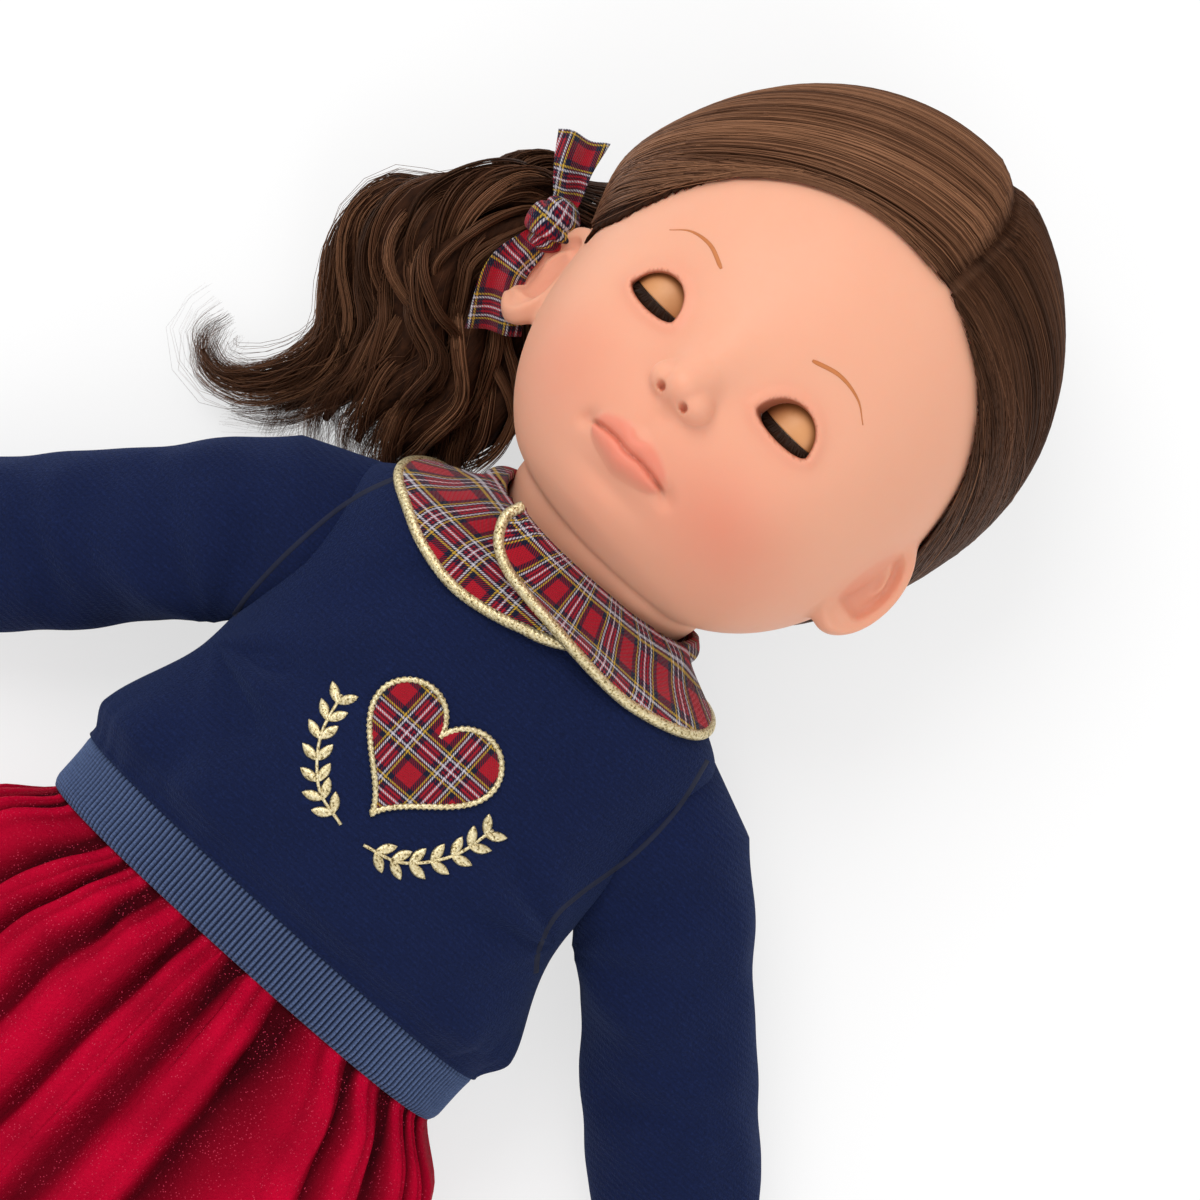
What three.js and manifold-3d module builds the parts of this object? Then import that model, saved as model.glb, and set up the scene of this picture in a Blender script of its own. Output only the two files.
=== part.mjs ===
// A play doll lying on its back: a cloth trunk with a vinyl head, arms and legs that turn at tied flanges,
// sleep eyes that open when the doll stands up, rooted hair in a side ponytail, a sweatshirt and a skirt.
// Millimetres. x runs to the doll's left, y to its crown and z out of its front. The table is z = 0.
import * as THREE from "three";
import { mergeVertices } from "three/addons/utils/BufferGeometryUtils.js";
import Module from "manifold-3d";

const wasm = await Module();
wasm.setup();

// Fits
const GAP = 0.4; // between pieces that touch
const PRESS = 4; // how far a soft back flattens on the table
const BEYOND = 300; // reaches past every side of the doll

// Dressed trunk
const NECKLINE_Y = 54;
const SHOULDER_Y = 43;
const ARMPIT_Y = -8;
const HEM_Y = -50;
const RIB_HEIGHT = 13;
const NECKLINE_HALF_WIDTH = 25;
const NECKLINE_HALF_DEPTH = 20;
const CHEST_HALF_WIDTH = 47.6;
const BELLY_HALF_WIDTH = 55;
const RIB_HALF_WIDTH = 52;
const CHEST_DEPTH = 61;
const BELLY_DEPTH = 64;
const SHIRT_WALL = 2;
const RIB_WALL = 2;
const WAISTBAND_HEIGHT = 8;
const WAISTBAND_WALL = 1.4;

// Neck joint, on an axis along y
const NECK_Z = 36;
const NECK_RADIUS = 15.5;
const NECK_GROOVE_RADIUS = 12;
const NECK_FLANGE_RADIUS = 16;
const NECK_BORE_RADIUS = 8.5;
const NECK_GROOVE_HEIGHT = 4;
const NECK_FLANGE_HEIGHT = 4;
const NECK_GROOVE_Y = 41;

// Head, in its own frame at the middle of the skull
const HEAD_TURN = -11.5; // degrees about y, towards the doll's right
const HEAD_TILT = -4; // degrees about z, crown towards the doll's left
const CHIN_Y = 56.5;
const HEAD_HEIGHT = 109;
const HEAD_WIDTH = 90;
const HEAD_DEPTH = 92;
const HEAD_X = 5; // the skull leans off the neck's axis
const JAW_FULLNESS = 2.5; // 2 is an ellipse below the middle of the skull, more is squarer
const HEAD_Z = 50;
const HEAD_WALL = 3;
const EYE_SPACING = 36;
const EYE_DROP = 8.6; // below the middle of the skull
const EYE_RADIUS = 9;
const EYE_RECESS = 1.9; // front of the eye behind the face
const EYE_OPENING_WIDTH = 12.4;
const EYE_OPENING_HEIGHT = 8.4;
const NOSE_DROP = 18;
const NOSE_WIDTH = 13.5;
const MOUTH_DROP = 34;
const MOUTH_WIDTH = 20;
const EAR_DROP = 20;
const EAR_HEIGHT = 25;
const EAR_STANDS_OUT = 32; // degrees from lying flat on the head

// Sleep eyes
const EYE_OPENS = 58; // degrees from shut to open
const LID_EDGE = 11; // degrees below straight ahead when shut
const LID_WALL = 0.5;
const LASH_LENGTH = 2.4;
const IRIS_RADIUS = 4.8;
const AXLE_RADIUS = 0.9;
const AXLE_CLEARANCE = 0.25;
const EYE_CLEARANCE = 0.9; // between the turning eye and what it turns in
const EYE_CASE_WALL = 1.4;
const WEIGHT_REACH = 19; // from the hinge to the far end of the weight
const WEIGHT_SIZE = 6;

// Hair
const HAIR_THICKNESS = 4.5;
const HAIRLINE_TOP = 36; // above the middle of the skull, at the forehead
const HAIRLINE_TILT = 33; // degrees the hairline leans back from upright
const HAIRLINE_TURN = 17; // degrees about y: the hair is swept over the right temple
const HAIRLINE_X = 12; // its highest point, left of the middle
const PONYTAIL_ROOT_RADIUS = 8;
const ELASTIC_RADIUS = 1.4; // of the cord
const TIE_REACH = 11; // of the hair tie, out from the cap
const BOW_WALL = 1.4;

// Arms
const ARM_PIVOT_X = CHEST_HALF_WIDTH + GAP;
const ARM_PIVOT_Y = 23;
const ARM_PIVOT_Z = 30;
const ARM_ANGLE = 45; // degrees the arms stand out from the trunk
const ARM_LENGTH = 100; // shoulder to wrist
const ARM_RADIUS = 11.5;
const WRIST_RADIUS = 8.5;
const WRIST_Z = 14;
const SLEEVE_RADIUS = 18;
const SLEEVE_WALL = 2;
const SLEEVE_LAP = 4; // how far the sleeve reaches onto the shoulder
const SHOULDER_SLOPE = 0.3; // how fast the sleeve narrows above the shoulder
const CUFF_LENGTH = 11;
const CUFF_WALL = 2;
const PALM_LENGTH = 17;
const FINGER_LENGTH = 11;

// Legs
const HIP_X = 26;
const HIP_Y = -70;
const HIP_Z = 29;
const LEG_SPREAD = 5; // degrees
const THIGH_RADIUS = 18.5;
const THIGH_WIDTH = 35;
const KNEE_RADIUS = 15;
const CALF_RADIUS = 15.5;
const ANKLE_RADIUS = 11.5;
const ANKLE_Z = 15;
const LEG_LENGTH = 104; // hip to ankle
const FOOT_LENGTH = 40;
const FOOT_WIDTH = 20;
const FOOT_HEIGHT = 13; // sole of the foot below the ankle
const SHOE_WALL = 1.6;
const SHOE_SOLE = 3;

// Tied flanges of the limbs, on axes along x
const LIMB_GROOVE_RADIUS = 7.5;
const LIMB_FLANGE_RADIUS = 10.5;
const LIMB_GROOVE_LENGTH = 3;
const LIMB_FLANGE_LENGTH = 3;
const GUSSET_HALF_WIDTH = 8;

// Skirt
const SKIRT_HEM_Y = -118;
const SKIRT_HALF_WIDTH = 76;
const SKIRT_DEPTH = 66;
const SKIRT_FOLDS = 15;
const SKIRT_FOLD_DEPTH = 3.4;
const SKIRT_PRESS = 8; // how far its back flattens on the table
const TULLE_WALL = 0.9;
const LINING_WALL = 0.9;

// Collar
const COLLAR_WALL = 1.6;
const COLLAR_FRONT_Y = 38;
const COLLAR_SIDE_Y = 47.5;
const COLLAR_OVERLAP = 12; // degrees that the left half passes the middle in front
const PIPING_RADIUS = 1.1;

const degrees = THREE.MathUtils.degToRad;
const vec = (x, y, z) => new THREE.Vector3(x, y, z);

// Geometry helpers

// A closed geometry as a manifold solid, turned right side out.
function solidOf(geometry) {
  const bare = geometry.index ? geometry.toNonIndexed() : geometry.clone();
  for (const name of Object.keys(bare.attributes)) {
    if (name !== "position") bare.deleteAttribute(name);
  }
  const merged = mergeVertices(bare, 1e-4);
  const triVerts = [];
  const corners = merged.index.array;
  for (let i = 0; i < corners.length; i += 3) {
    const [a, b, c] = corners.subarray(i, i + 3);
    if (a !== b && b !== c && c !== a) triVerts.push(a, b, c);
  }
  const build = (order) =>
    new wasm.Manifold(
      new wasm.Mesh({
        numProp: 3,
        vertProperties: new Float32Array(merged.attributes.position.array),
        triVerts: new Uint32Array(order),
      }),
    );
  const solid = build(triVerts);
  return solid.volume() < 0 ? build(triVerts.reverse()) : solid;
}

function geometryOf(solid) {
  const mesh = solid.getMesh();
  const made = new THREE.BufferGeometry();
  made.setAttribute("position", new THREE.BufferAttribute(mesh.vertProperties, 3));
  made.setIndex(new THREE.BufferAttribute(mesh.triVerts, 1));
  made.computeVertexNormals();
  return made;
}

// A skin over rings of equal length. The ends are closed by fans, or joined to each other in a loop.
function loft(rings, loop = false) {
  const count = rings[0].length;
  const points = rings.flat();
  const index = [];
  const last = loop ? rings.length : rings.length - 1;
  for (let i = 0; i < last; i++) {
    const next = ((i + 1) % rings.length) * count;
    for (let j = 0; j < count; j++) {
      const k = (j + 1) % count;
      index.push(i * count + j, i * count + k, next + j);
      index.push(i * count + k, next + k, next + j);
    }
  }
  if (!loop) {
    for (const start of [0, (rings.length - 1) * count]) {
      const ring = points.slice(start, start + count);
      const middle = points.length;
      points.push(ring.reduce((sum, p) => sum.add(p), vec(0, 0, 0)).divideScalar(count));
      for (let j = 0; j < count; j++) {
        const edge = [start + j, start + ((j + 1) % count)];
        index.push(middle, ...(start ? edge : edge.reverse()));
      }
    }
  }
  const made = new THREE.BufferGeometry();
  made.setAttribute("position", new THREE.Float32BufferAttribute(points.flatMap((p) => p.toArray()), 3));
  made.setIndex(index);
  return made;
}

const ring = (count, at) => Array.from({ length: count }, (_, j) => at((j / count) * 2 * Math.PI));
const steps = (count) => Array.from({ length: count + 1 }, (_, i) => i / count);

// Rings along a curve. radii(t) gives the half sizes across it and along up.
function ringsAlong(path, count, sides, radii, up = vec(0, 0, 1)) {
  return steps(count).map((t) => {
    const middle = path.getPoint(t);
    const along = path.getTangent(t);
    const across = vec(0, 0, 0).crossVectors(along, up).normalize();
    const over = vec(0, 0, 0).crossVectors(across, along);
    const [wide, high] = radii(t);
    return ring(sides, (a) =>
      middle
        .clone()
        .addScaledVector(across, wide * Math.cos(a))
        .addScaledVector(over, high * Math.sin(a)),
    );
  });
}

// A limb, lock or finger of changing section along a curve.
const sweep = (...options) => loft(ringsAlong(...options));

// A smooth curve of value against position, through [position, value] pairs in rising order.
function profile(pairs) {
  const slope = (i) => {
    const a = pairs[Math.max(i - 1, 0)];
    const b = pairs[Math.min(i + 1, pairs.length - 1)];
    return (b[1] - a[1]) / (b[0] - a[0]);
  };
  return (x) => {
    const inside = THREE.MathUtils.clamp(x, pairs[0][0], pairs.at(-1)[0]);
    const i = Math.min(Math.max(pairs.findIndex((p) => p[0] >= inside) - 1, 0), pairs.length - 2);
    const [x0, v0] = pairs[i];
    const [x1, v1] = pairs[i + 1];
    const span = x1 - x0;
    const t = (inside - x0) / span;
    const rise = 3 * t * t - 2 * t * t * t;
    const leave = t * (1 - t) * (1 - t) * span * slope(i);
    const arrive = t * t * (t - 1) * span * slope(i + 1);
    return v0 + (v1 - v0) * rise + leave + arrive;
  };
}

const smooth = (t) => THREE.MathUtils.smoothstep(t, 0, 1);
const ball = (x, y, z, sides = 16, rows = 12) => new THREE.SphereGeometry(1, sides, rows).scale(x, y, z);
const block = (low, high) =>
  new THREE.BoxGeometry(high.x - low.x, high.y - low.y, high.z - low.z).translate(
    (low.x + high.x) / 2,
    (low.y + high.y) / 2,
    (low.z + high.z) / 2,
  );
const rodAlongX = (radius, from, to, sides = 12) =>
  new THREE.CylinderGeometry(radius, radius, Math.abs(to - from), sides)
    .rotateZ(Math.PI / 2)
    .translate((from + to) / 2, 0, 0);
// A turned piece about y, from [radius, y] pairs that start and end on the axis or close on themselves.
const turned = (pairs, sides = 16) => {
  const points = pairs.map((p) => new THREE.Vector2(...p));
  return new THREE.LatheGeometry(points, sides);
};
// A turned ring of rectangular section about x.
const ringAlongX = (inner, outer, from, to, sides = 12) =>
  turned(
    [[inner, from], [outer, from], [outer, to], [inner, to], [inner, from]],
    sides,
  ).rotateZ(-Math.PI / 2);

// Materials

const finish = (color, roughness, metalness = 0) =>
  new THREE.MeshStandardMaterial({ color, roughness, metalness });
const VINYL = finish(0xf0b08c, 0.45);
const LID = finish(0xc4935e, 0.4);
const EYE_WHITE = finish(0xf2efe8, 0.25);
const IRIS = finish(0x5a3518, 0.15);
const LASH = finish(0x2a1a10, 0.8);
const STEEL = finish(0x9a9c9f, 0.35, 0.9);
const WEIGHT = finish(0x6c6e72, 0.5, 0.8);
const EYE_CASE = finish(0xe8e2d6, 0.5);
const HAIR = finish(0x3a2317, 0.5);
const ELASTIC = finish(0x1c1410, 0.8);
const CLOTH_BODY = finish(0xf1d9c8, 0.9);
const TIE = finish(0xf4f4f0, 0.5);
const NAVY = finish(0x1d2747, 0.95);
const NAVY_RIB = finish(0x32456a, 0.95);
const TARTAN = finish(0xa31a2c, 0.9);
const GOLD = finish(0xd6c187, 0.35, 0.6);
const TULLE = finish(0xb40a22, 0.7);
const SATIN = finish(0x8e0a1c, 0.5);
const SHOE = finish(0x9a1426, 0.35);
const SOLE = finish(0x4a3426, 0.7);

const doll = new THREE.Group();

function add(parent, name, shape, material) {
  const geometry = shape.isBufferGeometry ? geometryOf(solidOf(shape)) : geometryOf(shape);
  const mesh = new THREE.Mesh(geometry, material);
  mesh.name = name;
  parent.add(mesh);
  return mesh;
}

// Dressed trunk: one form, whose layers are insets of it

const RIB_TOP_Y = HEM_Y + RIB_HEIGHT;
const FORM_SIDES = 24;
const FORM_SQUARENESS = 0.8; // 1 is an ellipse, less is squarer
const bellyY = RIB_TOP_Y + 7;
const chestY = (ARMPIT_Y + SHOULDER_Y) / 2;
const yokeY = (SHOULDER_Y + NECKLINE_Y) / 2;
const halfWidthAt = profile([
  [HEM_Y, RIB_HALF_WIDTH - 0.5],
  [RIB_TOP_Y, RIB_HALF_WIDTH],
  [bellyY, BELLY_HALF_WIDTH],
  [ARMPIT_Y, CHEST_HALF_WIDTH],
  [chestY, CHEST_HALF_WIDTH],
  [SHOULDER_Y - 6, CHEST_HALF_WIDTH],
  [SHOULDER_Y, CHEST_HALF_WIDTH - 2],
  [yokeY, (CHEST_HALF_WIDTH + NECKLINE_HALF_WIDTH) / 2],
  [NECKLINE_Y, NECKLINE_HALF_WIDTH],
]);
const frontAt = profile([
  [HEM_Y, BELLY_DEPTH - 7],
  [RIB_TOP_Y, BELLY_DEPTH - 5],
  [bellyY, BELLY_DEPTH],
  [ARMPIT_Y, BELLY_DEPTH - 1],
  [chestY, CHEST_DEPTH],
  [SHOULDER_Y - 6, CHEST_DEPTH - 2],
  [SHOULDER_Y, CHEST_DEPTH - 4],
  [yokeY, (CHEST_DEPTH - 4 + NECK_Z + NECKLINE_HALF_DEPTH) / 2],
  [NECKLINE_Y, NECK_Z + NECKLINE_HALF_DEPTH],
]);
const backAt = profile([
  [HEM_Y, 1.5],
  [RIB_TOP_Y, 0.4],
  [bellyY, -PRESS],
  [chestY, -PRESS],
  [SHOULDER_Y - 6, 1],
  [SHOULDER_Y, 5],
  [yokeY, (5 + NECK_Z - NECKLINE_HALF_DEPTH) / 2],
  [NECKLINE_Y, NECK_Z - NECKLINE_HALF_DEPTH],
]);
const bulge = (value) => Math.sign(value) * Math.abs(value) ** FORM_SQUARENESS;

// The point of the dressed form at height y and angle a from the front, moved in by inset.
function formPoint(y, a, inset = 0) {
  const front = frontAt(y) - inset;
  const back = backAt(y) + inset;
  const x = (halfWidthAt(y) - inset) * bulge(Math.sin(a));
  const z = (front + back) / 2 + ((front - back) / 2) * bulge(Math.cos(a));
  return vec(x, y, Math.max(z, inset));
}

const formRing = (y, inset) => ring(FORM_SIDES, (a) => formPoint(y, a, inset));
const between = (low, high, count) => steps(count).map((t) => THREE.MathUtils.lerp(low, high, t));

// A sleeve of the form between two heights, between an outer and an inner inset.
function formShell(heights, outer, inner) {
  const outside = heights.map((y) => formRing(y, outer));
  const inside = heights.map((y) => formRing(y, inner)).reverse();
  return loft([...outside, ...inside], true);
}

const shirtHeights = [
  RIB_TOP_Y + GAP,
  ...between(bellyY, ARMPIT_Y, 2),
  chestY,
  SHOULDER_Y - 6,
  SHOULDER_Y,
  yokeY,
  NECKLINE_Y,
];
const SHIRT_INSIDE = SHIRT_WALL;
const TRUNK_INSET = SHIRT_INSIDE + GAP;
const WAISTBAND_INSET = RIB_WALL + GAP;
const WAISTBAND_INSIDE = WAISTBAND_INSET + WAISTBAND_WALL;
const WAISTBAND_TOP_Y = RIB_TOP_Y - GAP;
const WAISTBAND_BOTTOM_Y = WAISTBAND_TOP_Y - WAISTBAND_HEIGHT;
const SKIRT_TOP_Y = WAISTBAND_BOTTOM_Y - GAP;
const TULLE_INSET = WAISTBAND_INSET + GAP;
const LINING_INSET = TULLE_INSET + TULLE_WALL + GAP;
const WAIST_INSET = LINING_INSET + LINING_WALL + GAP; // of the trunk, under the waistband and skirt

const sleeveHole = rodAlongX(1, -ARM_PIVOT_X / 2, ARM_PIVOT_X / 2)
  .scale(1, SLEEVE_RADIUS + 2, SLEEVE_RADIUS - 2);
const mirrored = (geometry) => geometry.clone().scale(-1, 1, 1);
const armPivot = vec(ARM_PIVOT_X, ARM_PIVOT_Y, ARM_PIVOT_Z);
const hipPivot = vec(HIP_X, HIP_Y, HIP_Z);
const at = (geometry, place) => geometry.clone().translate(place.x, place.y, place.z);
const cutBothSides = (solid, geometry) =>
  solid.subtract(solidOf(geometry)).subtract(solidOf(mirrored(geometry)));

function sweatshirt() {
  const tube = solidOf(formShell(shirtHeights, 0, SHIRT_INSIDE));
  const opened = cutBothSides(tube, at(sleeveHole, armPivot));
  add(doll, "sweatshirt_body", opened, NAVY);
  const ribHeights = [HEM_Y, RIB_TOP_Y];
  add(doll, "sweatshirt_waist_rib", formShell(ribHeights, 0, RIB_WALL), NAVY_RIB);
}

// Trunk

const ARM_FLANGE_END = ARM_PIVOT_X - TRUNK_INSET - LIMB_GROOVE_LENGTH - LIMB_FLANGE_LENGTH - 4 * GAP;
const NECK_FLANGE_BOTTOM_Y = NECK_GROOVE_Y - NECK_FLANGE_HEIGHT;

function trunk() {
  // From the top down, so that its facets run like those inside the sweatshirt.
  const heights = [yokeY, SHOULDER_Y, SHOULDER_Y - 6, chestY, ARMPIT_Y, bellyY, WAISTBAND_TOP_Y, HEM_Y];
  const rings = heights.map((y) => formRing(y, y > WAISTBAND_TOP_Y ? TRUNK_INSET : WAIST_INSET));
  const gussetTop = vec(GUSSET_HALF_WIDTH, HEM_Y + LIMB_FLANGE_RADIUS, HIP_Z + THIGH_RADIUS);
  const gussetBottom = vec(-GUSSET_HALF_WIDTH, HIP_Y - THIGH_RADIUS, HIP_Z - THIGH_RADIUS);
  const gusset = new THREE.CylinderGeometry(THIGH_RADIUS, THIGH_RADIUS, 2 * GUSSET_HALF_WIDTH, 24)
    .rotateZ(Math.PI / 2)
    .translate(0, HIP_Y, HIP_Z);
  const web = block(gussetBottom.clone().setY(HIP_Y), gussetTop);
  const neckHole = new THREE.CylinderGeometry(
    NECK_FLANGE_RADIUS + GAP,
    NECK_FLANGE_RADIUS + GAP,
    NECKLINE_Y - NECK_FLANGE_BOTTOM_Y + GAP,
    28,
  ).translate(0, (NECKLINE_Y + NECK_FLANGE_BOTTOM_Y - GAP) / 2, NECK_Z);
  const shoulderSocket = rodAlongX(LIMB_FLANGE_RADIUS + GAP, ARM_FLANGE_END - GAP, 2 * ARM_PIVOT_X);
  const hipSocket = rodAlongX(LIMB_FLANGE_RADIUS + GAP, GUSSET_HALF_WIDTH - HIP_FLANGE_DEPTH - GAP, HIP_X);
  let body = solidOf(loft(rings)).add(solidOf(gusset)).add(solidOf(web));
  body = cutBothSides(body.subtract(solidOf(neckHole)), at(shoulderSocket, vec(0, ARM_PIVOT_Y, ARM_PIVOT_Z)));
  body = cutBothSides(body, at(hipSocket, vec(0, HIP_Y, HIP_Z)));
  add(doll, "cloth_trunk", body, CLOTH_BODY);
}

// Cable ties that draw the cloth into the grooves of the neck and limbs
const HIP_FLANGE_DEPTH = LIMB_GROOVE_LENGTH + LIMB_FLANGE_LENGTH;

function ties() {
  const neck = turned([
    [NECK_GROOVE_RADIUS + GAP, NECK_GROOVE_Y + GAP],
    [NECK_FLANGE_RADIUS, NECK_GROOVE_Y + GAP],
    [NECK_FLANGE_RADIUS, NECK_GROOVE_Y + NECK_GROOVE_HEIGHT - GAP],
    [NECK_GROOVE_RADIUS + GAP, NECK_GROOVE_Y + NECK_GROOVE_HEIGHT - GAP],
    [NECK_GROOVE_RADIUS + GAP, NECK_GROOVE_Y + GAP],
  ]).translate(0, 0, NECK_Z);
  add(doll, "neck_tie", neck, TIE);
  const limbTie = (from) =>
    ringAlongX(LIMB_GROOVE_RADIUS + GAP, LIMB_FLANGE_RADIUS, from + GAP, from + LIMB_GROOVE_LENGTH - GAP);
  const shoulder = at(limbTie(ARM_FLANGE_END + LIMB_FLANGE_LENGTH), vec(0, ARM_PIVOT_Y, ARM_PIVOT_Z));
  const hip = at(limbTie(GUSSET_HALF_WIDTH - LIMB_GROOVE_LENGTH), vec(0, HIP_Y, HIP_Z));
  for (const [side, turn] of SIDES) {
    add(doll, `shoulder_tie_${side}`, turn(shoulder), TIE);
    add(doll, `hip_tie_${side}`, turn(hip), TIE);
  }
}

const SIDES = [
  ["left", (geometry) => geometry],
  ["right", mirrored],
];

// Collar: two halves laid on the yoke, each with a piping along its edge

const collarEdgeY = (a) => {
  const front = Math.cos(a) > 0 ? Math.cos(a) ** 2 : 0;
  const back = Math.cos(a) < 0 ? Math.cos(a) ** 2 : 0;
  const backY = (COLLAR_FRONT_Y + COLLAR_SIDE_Y) / 2;
  return COLLAR_SIDE_Y + (COLLAR_FRONT_Y - COLLAR_SIDE_Y) * front + (backY - COLLAR_SIDE_Y) * back;
};

// A frame on the form: the point, the way down the cloth and the way out of it.
function formFrame(y, a) {
  const small = 0.01;
  const point = formPoint(y, a);
  const down = formPoint(y - small, a).sub(point).normalize();
  const round = formPoint(y, a + small).sub(formPoint(y, a - small)).normalize();
  const out = vec(0, 0, 0).crossVectors(round, down).normalize();
  return { point, down, out: out.dot(vec(point.x, 0, point.z - NECK_Z)) < 0 ? out.negate() : out };
}

// The lower edge of a half at share t of its way round, with rounded corners.
function collarEdge(a, t) {
  const corner = smooth(t / 0.1) * smooth((1 - t) / 0.06);
  return THREE.MathUtils.lerp(NECKLINE_Y - 2, collarEdgeY(a), 0.3 + 0.7 * corner);
}

function collarHalf(from, to, lift) {
  const rows = steps(18).map((t) => {
    const a = THREE.MathUtils.lerp(from, to, t);
    const heights = between(NECKLINE_Y - GAP, collarEdge(a, t), 3);
    const rise = GAP + lift(a);
    const side = (offset) =>
      heights.map((y) => {
        const { point, out } = formFrame(y, a);
        return point.addScaledVector(out, offset);
      });
    return [...side(rise), ...side(rise + COLLAR_WALL).reverse()];
  });
  return loft(rows);
}

function pipingPath(from, to, lift) {
  const points = steps(22).map((t) => {
    const a = THREE.MathUtils.lerp(from, to, t);
    const { point, down, out } = formFrame(collarEdge(a, t), a);
    return point
      .addScaledVector(down, PIPING_RADIUS + 3 * GAP)
      .addScaledVector(out, PIPING_RADIUS + 2 * GAP + lift(a));
  });
  return new THREE.CatmullRomCurve3(points);
}

function cord(path, radius, sides, count) {
  const onCircle = (a) => new THREE.Vector2(radius * Math.cos(a), radius * Math.sin(a));
  const section = new THREE.Shape(ring(sides, onCircle));
  return new THREE.ExtrudeGeometry(section, { steps: count, extrudePath: path, bevelEnabled: false });
}

function collar() {
  const overlap = degrees(COLLAR_OVERLAP);
  const backGap = degrees(4);
  const flat = () => 0;
  const stack = COLLAR_WALL + 2 * PIPING_RADIUS + 2 * GAP;
  const overRight = (a) => stack * smooth((2.4 * overlap - a) / (1.2 * overlap));
  const right = [-overlap, -(Math.PI - backGap)];
  const left = [-overlap, Math.PI - backGap];
  add(doll, "collar_right", collarHalf(...right, flat), TARTAN);
  add(doll, "collar_left", collarHalf(...left, overRight), TARTAN);
  add(doll, "collar_piping_right", cord(pipingPath(...right, flat), PIPING_RADIUS, 6, 20), GOLD);
  add(doll, "collar_piping_left", cord(pipingPath(...left, overRight), PIPING_RADIUS, 6, 20), GOLD);
}

// Skirt: a waistband under the rib, a lining and a gathered layer of tulle over it

function skirtRing(y, inset, folds, sides) {
  const fall = THREE.MathUtils.clamp((HEM_Y - y) / (HEM_Y - SKIRT_HEM_Y), 0, 1);
  const flare = Math.sin((fall * Math.PI) / 2);
  const halfWidth = THREE.MathUtils.lerp(halfWidthAt(y), SKIRT_HALF_WIDTH, flare);
  const front = THREE.MathUtils.lerp(frontAt(y), SKIRT_DEPTH, flare);
  const back = THREE.MathUtils.lerp(backAt(y), -SKIRT_PRESS, flare);
  const depth = SKIRT_FOLD_DEPTH * folds * smooth(fall * 2);
  return ring(sides, (a) => {
    const wave = depth * Math.cos(SKIRT_FOLDS * a) - inset;
    const x = (halfWidth + wave) * bulge(Math.sin(a));
    const z = (front + back) / 2 + ((front - back) / 2 + wave) * bulge(Math.cos(a));
    return vec(x, y, Math.max(z, inset - TULLE_INSET + GAP));
  });
}

function skirtLayer(outer, inner, folds, sides, hem) {
  const heights = [SKIRT_TOP_Y, ...between(HEM_Y, hem, 3)];
  const outside = heights.map((y) => skirtRing(y, outer, folds, sides));
  const inside = heights.map((y) => skirtRing(y, inner, folds, sides)).reverse();
  return loft([...outside, ...inside], true);
}

function skirt() {
  const bandHeights = [WAISTBAND_BOTTOM_Y, WAISTBAND_TOP_Y];
  add(doll, "skirt_waistband", formShell(bandHeights, WAISTBAND_INSET, WAISTBAND_INSIDE), SATIN);
  const tulleSides = SKIRT_FOLDS * 4;
  const tulleInside = TULLE_INSET + TULLE_WALL;
  add(doll, "skirt_tulle", skirtLayer(TULLE_INSET, tulleInside, 1, tulleSides, SKIRT_HEM_Y), TULLE);
  const liningHem = SKIRT_HEM_Y + 6;
  const liningOutside = LINING_INSET + SKIRT_FOLD_DEPTH;
  add(doll, "skirt_lining", liningLayer(liningOutside, liningHem), SATIN);
}

// The lining hangs plain inside the folds of the tulle.
function liningLayer(hangInset, hem) {
  const heights = [SKIRT_TOP_Y, ...between(HEM_Y, hem, 2)];
  const insetAt = (y) => THREE.MathUtils.lerp(LINING_INSET, hangInset, smooth((HEM_Y - y) / 20));
  const outside = heights.map((y) => skirtRing(y, insetAt(y), 0, FORM_SIDES));
  const inside = heights.map((y) => skirtRing(y, insetAt(y) + LINING_WALL, 0, FORM_SIDES)).reverse();
  return loft([...outside, ...inside], true);
}

// Arms: each is built for the left in a frame at its shoulder, and mirrored for the right

const armOut = degrees(ARM_ANGLE);
const armDrop = ARM_PIVOT_Z - WRIST_Z;
const armPoint = (length) => {
  const share = length / ARM_LENGTH;
  const drop = armDrop * smooth(Math.min(share, 1));
  return vec(Math.sin(armOut) * length, -Math.cos(armOut) * length, -drop);
};
const armPath = (from, to) => new THREE.CatmullRomCurve3(between(from, to, 6).map(armPoint));
// What lies inside the armhole.
const BODY_SIDE = block(vec(-BEYOND, -BEYOND, -BEYOND), vec(GAP, BEYOND, BEYOND));

function limbFlange(innerEnd, outerEnd) {
  const grooveStart = innerEnd + LIMB_FLANGE_LENGTH;
  const grooveEnd = grooveStart + LIMB_GROOVE_LENGTH;
  return turned([
    [0, innerEnd],
    [LIMB_FLANGE_RADIUS, innerEnd],
    [LIMB_FLANGE_RADIUS, grooveStart],
    [LIMB_GROOVE_RADIUS, grooveStart],
    [LIMB_GROOVE_RADIUS, grooveEnd],
    [LIMB_FLANGE_RADIUS, grooveEnd],
    [LIMB_FLANGE_RADIUS, outerEnd],
    [0, outerEnd],
  ], 12).rotateZ(-Math.PI / 2);
}

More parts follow.
